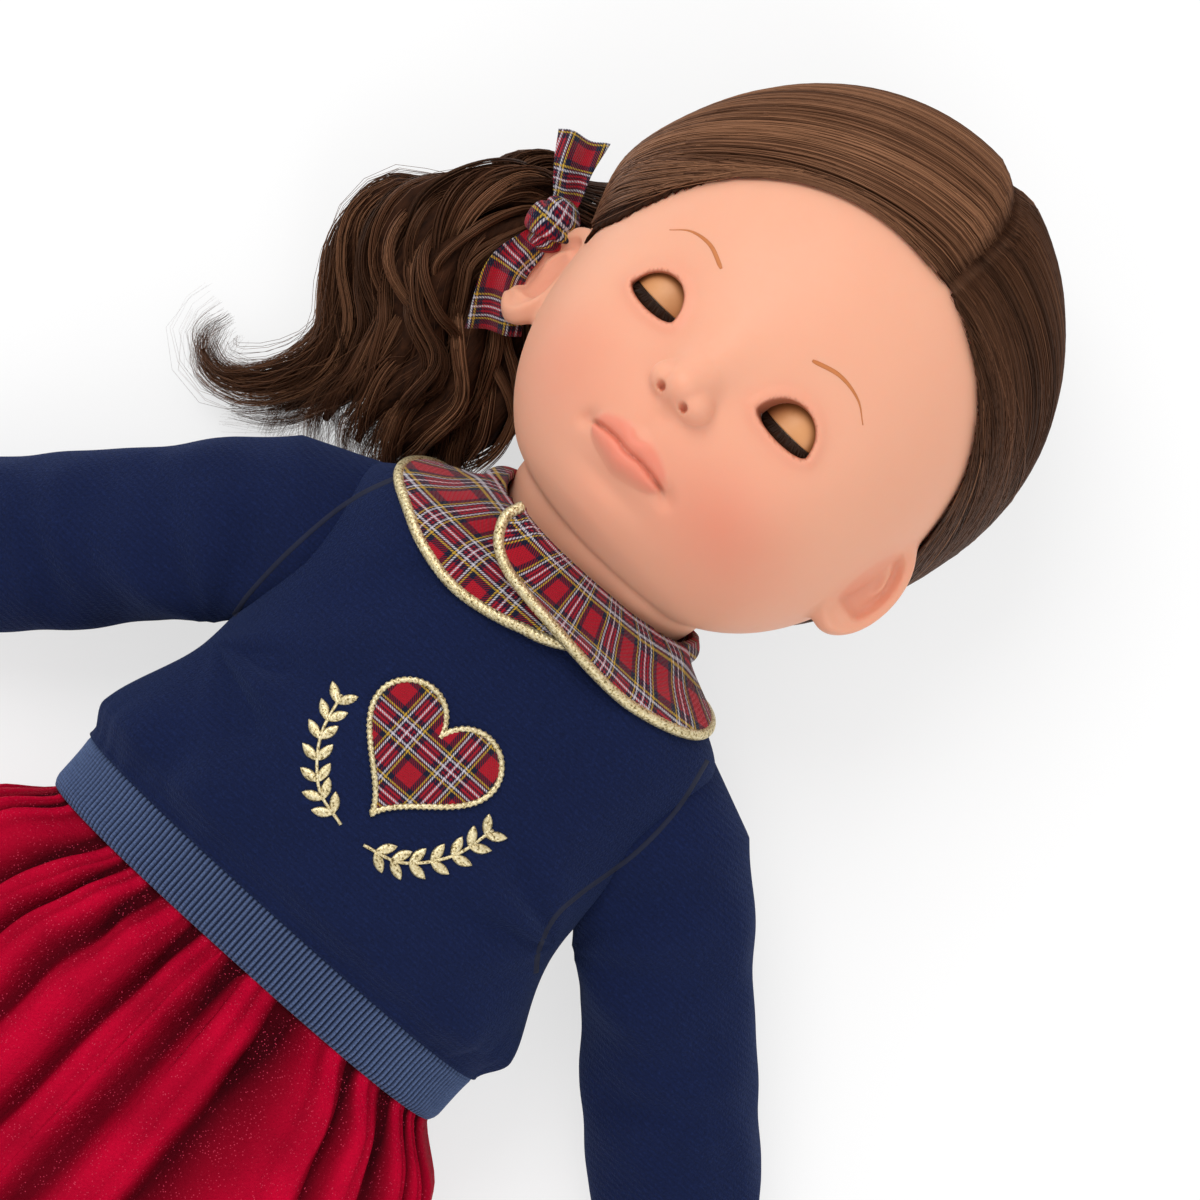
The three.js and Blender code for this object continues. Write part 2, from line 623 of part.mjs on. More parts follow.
function hand() {
  const wrist = armPoint(ARM_LENGTH);
  const along = armPoint(ARM_LENGTH).sub(armPoint(ARM_LENGTH - 10)).setZ(0).normalize();
  const across = vec(-along.y, along.x, 0); // towards the thumb
  const place = (length, side, high) =>
    wrist.clone().addScaledVector(along, length).addScaledVector(across, side).add(vec(0, 0, high));
  const digit = (start, end, radius) => {
    const path = new THREE.LineCurve3(start, end);
    const round = (t) => radius * Math.sqrt(Math.max(1 - (2 * t - 1) ** 8, 0.04));
    return solidOf(sweep(path, 3, 6, (t) => [round(t), round(t)]));
  };
  const palmPath = new THREE.LineCurve3(place(-6, 0, 0), place(PALM_LENGTH, 0, -1));
  const palmWide = profile([
    [0, WRIST_RADIUS],
    [0.3, WRIST_RADIUS - 0.3],
    [0.7, WRIST_RADIUS + 1.6],
    [1, WRIST_RADIUS - 0.5],
  ]);
  const palmHigh = profile([[0, WRIST_RADIUS], [0.4, WRIST_RADIUS - 2], [1, WRIST_RADIUS - 4]]);
  let made = solidOf(sweep(palmPath, 3, 10, (t) => [palmWide(t), palmHigh(t)]));
  const FINGER_RADIUS = 2.6;
  const lengths = [0.8, 1, 0.95, 0.75]; // little finger last
  lengths.forEach((share, i) => {
    const side = (1.5 - i) * FINGER_RADIUS * 1.75;
    const start = place(PALM_LENGTH - 4, side * 0.95, -0.5);
    const end = place(PALM_LENGTH + FINGER_LENGTH * share, side * 1.15, -3);
    made = made.add(digit(start, end, FINGER_RADIUS));
  });
  const thumb = digit(place(4, WRIST_RADIUS - 3, 0), place(PALM_LENGTH - 2, WRIST_RADIUS + 4.5, 1), 2.8);
  return made.add(thumb);
}

const ARM_START = -10; // above the shoulder, cut off at the armhole
const armRadiusAt = profile([
  [ARM_START, ARM_RADIUS],
  [ARM_LENGTH * 0.3, ARM_RADIUS + 0.8],
  [ARM_LENGTH * 0.6, ARM_RADIUS - 0.6],
  [ARM_LENGTH - CUFF_LENGTH, WRIST_RADIUS],
  [ARM_LENGTH, WRIST_RADIUS],
]);

function arm() {
  const radius = (t) => armRadiusAt(THREE.MathUtils.lerp(ARM_START, ARM_LENGTH, t));
  const limb = sweep(armPath(ARM_START, ARM_LENGTH), 6, 12, (t) => [radius(t), radius(t)]);
  const flange = limbFlange(ARM_FLANGE_END - ARM_PIVOT_X, 2 * GAP + 1);
  return solidOf(limb).subtract(solidOf(BODY_SIDE)).add(solidOf(flange)).add(hand());
}

const SLEEVE_START = -26; // above the shoulder, cut off at the armhole
const SLEEVE_END = ARM_LENGTH - CUFF_LENGTH;
const CUFF_RADIUS = WRIST_RADIUS + 2 * GAP + CUFF_WALL;

function sleeve() {
  const wide = profile([
    [0, SLEEVE_RADIUS + 1],
    [0.3, SLEEVE_RADIUS],
    [0.8, SLEEVE_RADIUS],
    [1, CUFF_RADIUS + SLEEVE_WALL],
  ]);
  const high = profile([
    [0, SLEEVE_RADIUS - 1],
    [0.4, SLEEVE_RADIUS - 3],
    [0.8, SLEEVE_RADIUS - 4.5],
    [1, CUFF_RADIUS + SLEEVE_WALL],
  ]);
  const side = (inset) =>
    ringsAlong(armPath(SLEEVE_START, SLEEVE_END), 7, 16, (t) => {
      const along = THREE.MathUtils.lerp(SLEEVE_START, SLEEVE_END, t);
      const share = Math.max(along, 0) / SLEEVE_END;
      const narrowed = inset - SHOULDER_SLOPE * Math.min(along, 0);
      return [wide(share) - narrowed, high(share) - inset];
    });
  const trunkSide = loft(shirtHeights.map((y) => formRing(y, -GAP)));
  const tube = solidOf(loft([...side(0), ...side(SLEEVE_WALL).reverse()], true));
  const shoulder = BODY_SIDE.clone().translate(-SLEEVE_LAP, 0, 0);
  return tube.subtract(solidOf(shoulder)).subtract(solidOf(at(trunkSide, armPivot.clone().negate())));
}

function cuff() {
  const start = SLEEVE_END + 2 * GAP;
  const swell = (t) => CUFF_RADIUS + 1.4 * Math.sin(Math.PI * t);
  const outside = ringsAlong(armPath(start, ARM_LENGTH), 2, 16, (t) => [swell(t), swell(t)]);
  const armAt = (t) => armRadiusAt(THREE.MathUtils.lerp(start, ARM_LENGTH, t)) + 2 * GAP;
  const inside = ringsAlong(armPath(start, ARM_LENGTH), 2, 16, (t) => [armAt(t), armAt(t)]);
  return loft([...outside, ...inside.reverse()], true);
}

function arms() {
  const shapes = { arm: [arm(), VINYL], sleeve: [sleeve(), NAVY], sleeve_cuff: [cuff(), NAVY_RIB] };
  for (const [side] of SIDES) {
    const mirror = new THREE.Group();
    mirror.scale.x = side === "left" ? 1 : -1;
    const group = new THREE.Group();
    group.position.copy(armPivot);
    for (const [name, [shape, material]] of Object.entries(shapes)) {
      add(group, `${name}_${side}`, shape, material);
    }
    mirror.add(group);
    doll.add(mirror);
  }
}

// Legs and shoes, in a frame at the hip

const legOut = degrees(LEG_SPREAD);
const legPoint = (length) => {
  const share = THREE.MathUtils.clamp(length / LEG_LENGTH, 0, 1);
  return vec(Math.sin(legOut) * length, -Math.cos(legOut) * length, (ANKLE_Z - HIP_Z) * smooth(share));
};
const ankle = legPoint(LEG_LENGTH);
const footSole = -Math.cos(legOut) * LEG_LENGTH - FOOT_HEIGHT;
const heelBack = -ANKLE_RADIUS - 1.5; // from the ankle's axis, along z

// The foot as rings from heel to toe, grown by an allowance for the shoe.
function foot(grow, below) {
  const sharesOf = (size, pairs) => profile(pairs.map(([t, share]) => [t, share * size]));
  const wide = sharesOf(FOOT_WIDTH, [[0, 0.28], [0.12, 0.4], [0.65, 0.5], [0.9, 0.4], [1, 0.2]]);
  const high = sharesOf(FOOT_HEIGHT, [[0, 0.6], [0.12, 1.05], [0.4, 1.15], [0.75, 0.8], [1, 0.35]]);
  const rings = steps(5).map((t) => {
    const z = ankle.z + heelBack - grow + t * (FOOT_LENGTH + 2 * grow);
    const bottom = footSole - below;
    const top = footSole + high(t) + grow;
    const half = wide(t) + grow;
    return ring(10, (a) => {
      const y = (top + bottom) / 2 + ((top - bottom) / 2) * bulge(Math.cos(a));
      return vec(ankle.x + half * bulge(Math.sin(a)), y, z);
    });
  });
  return loft(rings);
}

const hipInnerFace = GUSSET_HALF_WIDTH + GAP - HIP_X;
const HIP_FLANGE_END = GUSSET_HALF_WIDTH - HIP_FLANGE_DEPTH - HIP_X;

function leg() {
  const swell = profile([
    [0, THIGH_RADIUS - 1],
    [0.3, THIGH_RADIUS - 1.5],
    [0.52, KNEE_RADIUS],
    [0.72, CALF_RADIUS],
    [1, ANKLE_RADIUS],
  ]);
  const outer = hipInnerFace + THIGH_WIDTH;
  const rounding = THIGH_RADIUS / 3;
  const hipBar = turned([
    [0, hipInnerFace],
    [THIGH_RADIUS, hipInnerFace],
    [THIGH_RADIUS, outer - 2 * rounding],
    [THIGH_RADIUS - rounding * 0.4, outer - rounding],
    [THIGH_RADIUS - rounding * 1.3, outer],
    [0, outer],
  ]).rotateZ(-Math.PI / 2);
  const limb = sweep(new THREE.CatmullRomCurve3(between(0, LEG_LENGTH, 6).map(legPoint)), 6, 12, (t) => [
    Math.min(swell(t), THIGH_WIDTH / 2 - 1),
    swell(t),
  ]);
  const flange = limbFlange(HIP_FLANGE_END, hipInnerFace + 2);
  const heel = at(ball(ANKLE_RADIUS, ANKLE_RADIUS, ANKLE_RADIUS, 12, 6), ankle);
  return [hipBar, flange, heel, foot(0, 0)].reduce((sum, g) => sum.add(solidOf(g)), solidOf(limb));
}

function shoeUpper() {
  const legLine = new THREE.LineCurve3(ankle.clone().add(vec(0, -3, 0)), ankle.clone().add(vec(0, 30, 0)));
  const legSpace = sweep(legLine, 1, 12, () => [
    ANKLE_RADIUS + GAP,
    ANKLE_RADIUS + GAP,
  ]);
  const heelSpace = at(ball(ANKLE_RADIUS + GAP, ANKLE_RADIUS + GAP, ANKLE_RADIUS + GAP, 12, 6), ankle);
  const throatMiddle = ankle.clone().add(vec(0, 1, ANKLE_RADIUS));
  const throat = at(ball(FOOT_WIDTH * 0.34, FOOT_HEIGHT * 0.95, FOOT_LENGTH * 0.2, 10, 6), throatMiddle);
  const tooHigh = block(vec(-BEYOND, ankle.y - 1, -BEYOND), vec(BEYOND, ankle.y + 60, BEYOND));
  return [foot(GAP, 3 * GAP), legSpace, heelSpace, throat, tooHigh].reduce(
    (left, g) => left.subtract(solidOf(g)),
    solidOf(foot(GAP + SHOE_WALL, GAP)),
  );
}

function shoeSole() {
  const grow = SHOE_WALL + GAP;
  const outline = steps(10).map((t) => {
    const z = t * (FOOT_LENGTH + 2 * grow) + heelBack - grow;
    const u = 2 * t - 1;
    const half = (FOOT_WIDTH / 2 + grow) * Math.sqrt(Math.max(1 - u ** 6, 0)) * (0.9 + 0.1 * u);
    return [z, half];
  });
  const shape = new THREE.Shape([
    ...outline.map(([z, half]) => new THREE.Vector2(half, z)),
    ...outline.slice(1, -1).reverse().map(([z, half]) => new THREE.Vector2(-half, z)),
  ]);
  const slab = new THREE.ExtrudeGeometry(shape, { depth: SHOE_SOLE, bevelEnabled: false });
  // The outline lies in the plane of the floor of the shoe, and the slab grows down from it.
  return slab.rotateX(Math.PI / 2).translate(ankle.x, footSole - 2 * GAP, ankle.z);
}

function legs() {
  const shapes = { leg: [leg(), VINYL], shoe_upper: [shoeUpper(), SHOE], shoe_sole: [shoeSole(), SOLE] };
  for (const [side] of SIDES) {
    const mirror = new THREE.Group();
    mirror.scale.x = side === "left" ? 1 : -1;
    const group = new THREE.Group();
    group.position.copy(hipPivot);
    for (const [name, [shape, material]] of Object.entries(shapes)) {
      add(group, `${name}_${side}`, shape, material);
    }
    mirror.add(group);
    doll.add(mirror);
  }
}

// Head: a hollow vinyl shell, in a frame at the middle of the skull

const skullHalf = vec(HEAD_WIDTH / 2, HEAD_HEIGHT / 2, HEAD_DEPTH / 2);
const skullMiddle = vec(HEAD_X, CHIN_Y + HEAD_HEIGHT / 2, HEAD_Z - NECK_Z);
const headTurn = new THREE.Group();
headTurn.position.z = NECK_Z;
headTurn.rotation.y = degrees(HEAD_TURN);
const skull = new THREE.Group();
skull.position.copy(skullMiddle);
skull.rotation.z = degrees(HEAD_TILT);
headTurn.add(skull);
doll.add(headTurn);
headTurn.updateMatrixWorld(true);
skull.updateMatrix();

// The share of its full girth that the plain egg of the skull has at height y.
const girthAt = (y) => {
  const power = y < 0 ? JAW_FULLNESS : 2;
  return Math.max(1 - Math.abs(y / skullHalf.y) ** power, 0) ** (1 / power);
};
// How far the egg reaches forward at x and y.
const skullFront = (x, y) => skullHalf.z * Math.sqrt(Math.max(girthAt(y) ** 2 - (x / skullHalf.x) ** 2, 0));
const onFace = (x, y) => vec(x, y, skullFront(x, y));
const eyeX = EYE_SPACING / 2;
// Swellings and hollows of the face: where, how wide and how far out.
const FEATURES = [
  [onFace(24, -24), 15, 2],
  [onFace(-24, -24), 15, 2],
  [onFace(0, -MOUTH_DROP + 3), 13, 3],
  [onFace(0, -skullHalf.y + 8), 11, 2],
  [onFace(eyeX, -EYE_DROP), 9, -1.6],
  [onFace(-eyeX, -EYE_DROP), 9, -1.6],
  [onFace(0, -NOSE_DROP + 11), 8, 1.2],
];

// An egg with the features of the face, grown by an allowance, with its rows closest on the face.
function skullSkin(grow, sides, rows, crowd) {
  const egg = new THREE.SphereGeometry(1, sides, rows);
  const spots = egg.attributes.position;
  for (let i = 0; i < spots.count; i++) {
    const p = vec(0, 0, 0).fromBufferAttribute(spots, i);
    const reach = Math.hypot(p.x, p.z);
    const round = Math.atan2(p.x, p.z);
    const turn = round - crowd * Math.sin(round);
    p.set(Math.sin(turn) * reach, p.y, Math.cos(turn) * reach);
    const out = p.clone().divide(skullHalf).normalize();
    const power = p.y < 0 ? JAW_FULLNESS : 2;
    p.divideScalar((reach ** power + Math.abs(p.y) ** power) ** (1 / power)).multiply(skullHalf);
    let push = grow(p);
    for (const [middle, width, height] of FEATURES) {
      push += height * Math.exp(-p.distanceToSquared(middle) / width ** 2);
    }
    p.addScaledVector(out, push);
    spots.setXYZ(i, p.x, p.y, p.z);
  }
  return egg;
}

const faceSkin = (grow) => skullSkin(() => grow, 26, 16, 0.45);

const faceAt = (x, y) => {
  const p = onFace(x, y);
  let z = p.z;
  for (const [middle, width, height] of FEATURES) {
    z += height * Math.exp(-p.distanceToSquared(middle) / width ** 2);
  }
  return z;
};

// Eyes are hinged on an axle along x, behind the face.
const eyeMiddle = vec(eyeX, -EYE_DROP, faceAt(eyeX, -EYE_DROP) - EYE_RECESS - EYE_RADIUS);

function eyeOpening() {
  const half = EYE_OPENING_WIDTH / 2;
  const chord = -EYE_OPENING_HEIGHT * 0.3;
  const top = EYE_OPENING_HEIGHT / 2;
  const shape = new THREE.Shape();
  shape.moveTo(-half, chord);
  shape.bezierCurveTo(-half * 0.8, -top * 1.13, half * 0.8, -top * 1.13, half, chord);
  shape.bezierCurveTo(half * 0.85, top * 1.45, -half * 0.85, top * 1.45, -half, chord);
  const cut = new THREE.ExtrudeGeometry(shape, { depth: HEAD_DEPTH, bevelEnabled: false, curveSegments: 6 });
  return at(cut, eyeMiddle);
}

const earMiddle = vec(skullHalf.x - 0.5, -EAR_DROP, 1);
const earShape = (grow) => {
  const thick = ball(4 + grow, EAR_HEIGHT / 2 + grow, EAR_HEIGHT * 0.32 + grow, 10, 8);
  return at(thick.rotateY(degrees(-EAR_STANDS_OUT)), earMiddle);
};
const earHollow = () => {
  const hollow = ball(2.6, EAR_HEIGHT * 0.3, EAR_HEIGHT * 0.19, 8, 4);
  return at(hollow.rotateY(degrees(-EAR_STANDS_OUT)), earMiddle.clone().add(vec(3.6, 0.5, 2)));
};

function neck() {
  const top = skullMiddle.y - skullHalf.y * 0.55;
  const bottom = NECK_GROOVE_Y - NECK_FLANGE_HEIGHT;
  const shape = turned([
    [NECK_BORE_RADIUS, bottom],
    [NECK_FLANGE_RADIUS, bottom],
    [NECK_FLANGE_RADIUS, NECK_GROOVE_Y],
    [NECK_GROOVE_RADIUS, NECK_GROOVE_Y],
    [NECK_GROOVE_RADIUS, NECK_GROOVE_Y + NECK_GROOVE_HEIGHT],
    [NECK_RADIUS, NECK_GROOVE_Y + NECK_GROOVE_HEIGHT],
    [NECK_RADIUS, top],
    [NECK_BORE_RADIUS, top],
    [NECK_BORE_RADIUS, bottom],
  ]);
  return shape;
}

const skullFromTurn = skull.matrix.clone().invert();

function headShell() {
  const bore = new THREE.CylinderGeometry(NECK_BORE_RADIUS, NECK_BORE_RADIUS, HEAD_HEIGHT, 20)
    .translate(0, skullMiddle.y - skullHalf.y * 0.3 - HEAD_HEIGHT / 2, 0);
  const inside = ball(skullHalf.x - HEAD_WALL, skullHalf.y - HEAD_WALL, skullHalf.z - HEAD_WALL, 14, 8);
  const noseZ = skullFront(0, -NOSE_DROP);
  const mouthZ = faceAt(0, -MOUTH_DROP);
  const lip = (half, thick, y) => ball(half, thick, 4, 12, 6).translate(0, y, mouthZ - 2);
  const nostril = (side) =>
    ball(1.5, 1, 3, 6, 4).translate(side * NOSE_WIDTH * 0.24, -NOSE_DROP - 3.4, noseZ + 5);
  const wing = (side) =>
    ball(NOSE_WIDTH * 0.26, NOSE_WIDTH * 0.26, 4.2, 8, 6)
      .translate(side * NOSE_WIDTH * 0.27, -NOSE_DROP - 1, noseZ + 1.6);
  const joined = [
    ball(NOSE_WIDTH * 0.36, NOSE_WIDTH * 0.42, 8, 10, 8).translate(0, -NOSE_DROP, noseZ),
    wing(1),
    wing(-1),
    lip(MOUTH_WIDTH / 2, 2.3, -MOUTH_DROP + 2),
    lip(MOUTH_WIDTH * 0.4, 2.6, -MOUTH_DROP - 2.2),
    earShape(0),
    mirrored(earShape(0)),
  ];
  const socket = at(round(CASE_INSIDE), eyeMiddle);
  const cuts = [earHollow(), nostril(1), nostril(-1), inside, bore.applyMatrix4(skullFromTurn)];
  let shell = joined.reduce((sum, g) => sum.add(solidOf(g)), solidOf(faceSkin(0)));
  shell = cuts.reduce((rest, g) => rest.subtract(solidOf(g)), shell.subtract(solidOf(mirrored(earHollow()))));
  const axleRoom = at(rodAlongX(AXLE_BORE + GAP, -AXLE_END - GAP, AXLE_END + GAP, 8), eyeMiddle);
  shell = cutBothSides(cutBothSides(cutBothSides(shell, socket), eyeOpening()), axleRoom);
  return shell.add(solidOf(neck().applyMatrix4(skullFromTurn)));
}

// Sleep eyes, shut: each turns on its own axle in a case behind the face

const LID_INSIDE = EYE_RADIUS - LID_WALL;
const BALL_RADIUS = LID_INSIDE - GAP;
const CASE_INSIDE = EYE_RADIUS + EYE_CLEARANCE;
const CASE_OUTSIDE = CASE_INSIDE + EYE_CASE_WALL;
const AXLE_BORE = AXLE_RADIUS + AXLE_CLEARANCE;
const AXLE_END = CASE_INSIDE + EYE_CASE_WALL / 2;
const round = (radius, sides = 12, rows = 6) => ball(radius, radius, radius, sides, rows);

function eyePieces() {
  const bore = solidOf(rodAlongX(AXLE_BORE, -2 * EYE_RADIUS, 2 * EYE_RADIUS, 8));
  const irisTurn = degrees(90 + EYE_OPENS); // from up to where the iris looks when the eye is shut
  const irisBack = BALL_RADIUS - 1.8;
  const pocket = new THREE.CylinderGeometry(IRIS_RADIUS + GAP, IRIS_RADIUS + GAP, BALL_RADIUS, 14)
    .translate(0, irisBack - GAP + BALL_RADIUS / 2, 0)
    .rotateX(irisTurn);
  const iris = turned([
    [0, irisBack],
    [IRIS_RADIUS, irisBack],
    [IRIS_RADIUS, irisBack + 0.5],
    [IRIS_RADIUS * 0.65, irisBack + 1.4],
    [0, irisBack + 1.9],
  ], 14).rotateX(irisTurn);
  const stemRadius = 1.3;
  const stemStart = -(BALL_RADIUS - 2);
  const rodAlongZ = (radius, from, to) =>
    new THREE.CylinderGeometry(radius, radius, Math.abs(to - from), 8)
      .rotateX(Math.PI / 2)
      .translate(0, 0, (from + to) / 2);
  const half = WEIGHT_SIZE / 2;
  const slug = block(vec(-half, -half, -WEIGHT_REACH), vec(half, half, WEIGHT_SIZE - WEIGHT_REACH));
  const stem = rodAlongZ(stemRadius, stemStart, half - WEIGHT_REACH);
  const stemHole = rodAlongZ(stemRadius + AXLE_CLEARANCE, stemStart + GAP, -2 * BALL_RADIUS);
  const below = block(vec(-20, -40, -20), vec(20, 0, 20)).rotateX(degrees(LID_EDGE));
  const lidShell = solidOf(round(EYE_RADIUS)).subtract(solidOf(round(LID_INSIDE)));
  const lid = lidShell.subtract(solidOf(below)).subtract(bore);
  const slot = block(vec(-half - 1, -20, -20), vec(half + 1, half + 1, 0));
  const window = new THREE.CylinderGeometry(1, 1, 20, 14).rotateX(Math.PI / 2).scale(
    EYE_OPENING_WIDTH / 2 + 1,
    EYE_OPENING_HEIGHT / 2 + 1.2,
    1,
  ).translate(0, 0, 10);
  const shellSpace = HEAD_WALL + GAP;
  const cavity = ball(skullHalf.x - shellSpace, skullHalf.y - shellSpace, skullHalf.z - shellSpace, 14, 8);
  const caseShell = solidOf(round(CASE_OUTSIDE))
    .subtract(solidOf(round(CASE_INSIDE)))
    .subtract(solidOf(slot))
    .subtract(solidOf(window))
    .subtract(bore)
    .intersect(solidOf(at(cavity, eyeMiddle.clone().negate())));
  return {
    eye_case: [caseShell, EYE_CASE],
    eyeball: [
      solidOf(round(BALL_RADIUS)).subtract(bore).subtract(solidOf(pocket)).subtract(solidOf(stemHole)),
      EYE_WHITE,
    ],
    eye_iris: [iris, IRIS],
    eyelid: [lid, LID],
    eye_lashes: [lashes(), LASH],
    eye_axle: [rodAlongX(AXLE_RADIUS, -AXLE_END, AXLE_END, 8), STEEL],
    eye_weight: [solidOf(slug).add(solidOf(stem)), WEIGHT],
  };
}

// A comb of lashes that lies on the eye under the edge of the lid.
function lashes() {
  const reach = degrees(40);
  const start = degrees(LID_EDGE) + GAP / EYE_RADIUS;
  const end = start + LASH_LENGTH / EYE_RADIUS;
  const spot = (radius, low, turn) =>
    vec(Math.sin(turn) * Math.cos(low), -Math.sin(low), Math.cos(turn) * Math.cos(low))
      .multiplyScalar(radius);
  const rows = between(-reach, reach, 6).map((turn) => [
    spot(LID_INSIDE, start, turn),
    spot(EYE_RADIUS, start, turn),
    spot(EYE_RADIUS, end, turn),
    spot(LID_INSIDE, end, turn),
  ]);
  return loft(rows);
}

function head() {
  add(skull, "head_shell", headShell(), VINYL);
  const pieces = eyePieces();
  for (const [side] of SIDES) {
    const mirror = new THREE.Group();
    mirror.scale.x = side === "left" ? 1 : -1;
    const eye = new THREE.Group();
    eye.position.copy(eyeMiddle);
    for (const [name, [shape, material]] of Object.entries(pieces)) {
      add(eye, `${name}_${side}`, shape, material);
    }
    mirror.add(eye);
    skull.add(mirror);
  }
}

// Hair: a cap behind the hairline, and a ponytail tied over the right ear

const hairlineLean = degrees(HAIRLINE_TILT);
const hairlineTurn = degrees(HAIRLINE_TURN);
const hairlineTop = onFace(HAIRLINE_X, HAIRLINE_TOP);
const faceward = vec(0, 0, 1).applyEuler(new THREE.Euler(hairlineLean, hairlineTurn, 0, "YXZ"));
const behindHairline = (p) => -faceward.dot(p.clone().sub(hairlineTop));

// The outside of the hair, which thins out to the hairline.
const hairSkin = (grow) =>
  skullSkin((p) => grow + 1 + 2 * GAP + (HAIR_THICKNESS - 1) * smooth(behindHairline(p) / 16), 20, 12, 0);

function hairCap() {
  const inside = faceSkin(GAP);
  const open = 2 * HEAD_HEIGHT;
  const ahead = block(vec(-open, -open, 0), vec(open, open, open))
    .rotateX(hairlineLean)
    .rotateY(hairlineTurn);
  const face = at(ahead, hairlineTop);
  const nape = new THREE.CylinderGeometry(NECK_RADIUS + 4, NECK_RADIUS + 4, HEAD_HEIGHT, 16)
    .translate(0, skullMiddle.y - skullHalf.y * 0.75 - HEAD_HEIGHT / 2, 0)
    .applyMatrix4(skullFromTurn);
  const table = block(vec(-BEYOND, -BEYOND, -BEYOND), vec(BEYOND, BEYOND, 0))
    .applyMatrix4(skull.matrixWorld.clone().invert());
  const cuts = [inside, face, nape, table].map((g) => solidOf(g));
  const cap = cuts.reduce((rest, cut) => rest.subtract(cut), solidOf(hairSkin(0)));
  return cutBothSides(cap, earShape(GAP));
}

// The ponytail grows out of the cap behind the right ear, through an elastic, and falls beside the shoulder.
const toTable = skull.matrixWorld;
const rootInSkull = vec(-0.9, -0.13, -0.4).normalize();
const capReach = 1 / rootInSkull.clone().divide(skullHalf).length() + HAIR_THICKNESS;
const ponytailRoot = rootInSkull.clone().multiplyScalar(capReach).applyMatrix4(toTable);
const ponytailOut = vec(-1, -0.35, 0.1).normalize();
const tieMiddle = ponytailRoot.clone().addScaledVector(ponytailOut, TIE_REACH);

// Each lock: its thickest radius, and where it passes, measured from the tie.
const LOCKS = [
  [
    11,
    [-1, 1, 0], [-12, 3, 0], [-22, -2, 0], [-29, -16, -2], [-27, -34, -6], [-22, -50, -10], [-29, -66, -15],
  ],
  [9.5, [0, -3, 1], [-7, -8, 4], [-9, -21, 5], [-2, -33, 5], [-4, -43, 2], [-4, -51, -3]],
  [10, [-1, 0, 3], [-12, -1, 7], [-19, -13, 9], [-16, -29, 6], [-17, -43, 0], [-19, -57, -7]],
  [8, [-1, 0, -2], [-12, -2, -7], [-20, -10, -12], [-17, -25, -13], [-16, -44, -14]],
];

function ponytail() {
  const rootPath = new THREE.LineCurve3(ponytailRoot, tieMiddle.clone().addScaledVector(ponytailOut, 5));
  const rootRadius = profile([
    [0, PONYTAIL_ROOT_RADIUS * 1.25],
    [0.7, PONYTAIL_ROOT_RADIUS],
    [1, PONYTAIL_ROOT_RADIUS],
  ]);
  const root = solidOf(sweep(rootPath, 3, 12, (t) => [rootRadius(t), rootRadius(t)]));
  const locks = LOCKS.map(([radius, ...stops]) => {
    const path = new THREE.CatmullRomCurve3(stops.map((stop) => vec(...stop).add(tieMiddle)));
    const start = PONYTAIL_ROOT_RADIUS * 0.5;
    const thick = profile([[0, start], [0.1, start + 0.5], [0.35, radius], [0.8, radius * 0.7], [1, 1.5]]);
    return solidOf(sweep(path, 8, 7, (t) => [thick(t), thick(t)], vec(0, 0.3, 1)));
  });
  const table = block(vec(-BEYOND, -BEYOND, -BEYOND), vec(BEYOND, BEYOND, GAP));
  const cap = hairSkin(GAP).applyMatrix4(toTable);
  return locks.reduce((sum, lock) => sum.add(lock), root).subtract(solidOf(table)).subtract(solidOf(cap));
}

function hairTie() {
  const turn = new THREE.Quaternion().setFromUnitVectors(vec(0, 0, 1), ponytailOut);
  const loopRadius = PONYTAIL_ROOT_RADIUS + ELASTIC_RADIUS + 2 * GAP;
  const loop = new THREE.TorusGeometry(loopRadius, ELASTIC_RADIUS, 6, 16).applyQuaternion(turn);
  add(doll, "hair_elastic", at(loop, tieMiddle), ELASTIC);
  const knotHalf = vec(5, 5.5, 4);
  const knotRise = loopRadius + ELASTIC_RADIUS + knotHalf.z + GAP;
  const knotMiddle = tieMiddle.clone().add(vec(-3, -2, knotRise));
  add(doll, "bow_knot", at(ball(knotHalf.x, knotHalf.y, knotHalf.z, 10, 6), knotMiddle), TARTAN);
  const tail = (...stops) => {
    const path = new THREE.CatmullRomCurve3(stops.map((stop) => vec(...stop).add(knotMiddle)));
    const wide = profile([[0, 3.2], [0.4, 5.5], [1, 6]]);
    return sweep(path, 6, 8, (t) => [wide(t), BOW_WALL / 2]);
  };
  const start = knotHalf.y + 2 * GAP;
  const upper = tail([-1, start, 0], [-3, start + 6, 1.5], [-4.5, start + 13, -1]);
  const lower = tail([-0.5, -start, 0.6], [-2.5, -start - 7, 1.5], [1, -start - 17, 0]);
  add(doll, "bow_tail_upper", upper, TARTAN);
  add(doll, "bow_tail_lower", lower, TARTAN);
}

sweatshirt();
trunk();
ties();
collar();
skirt();
arms();
legs();
head();
add(skull, "hair_cap", hairCap(), HAIR);
add(doll, "ponytail", ponytail(), HAIR);
hairTie();

export default doll;
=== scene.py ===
import math

import bpy
import numpy as np
import openvdb
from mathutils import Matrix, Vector
from mathutils.bvhtree import BVHTree


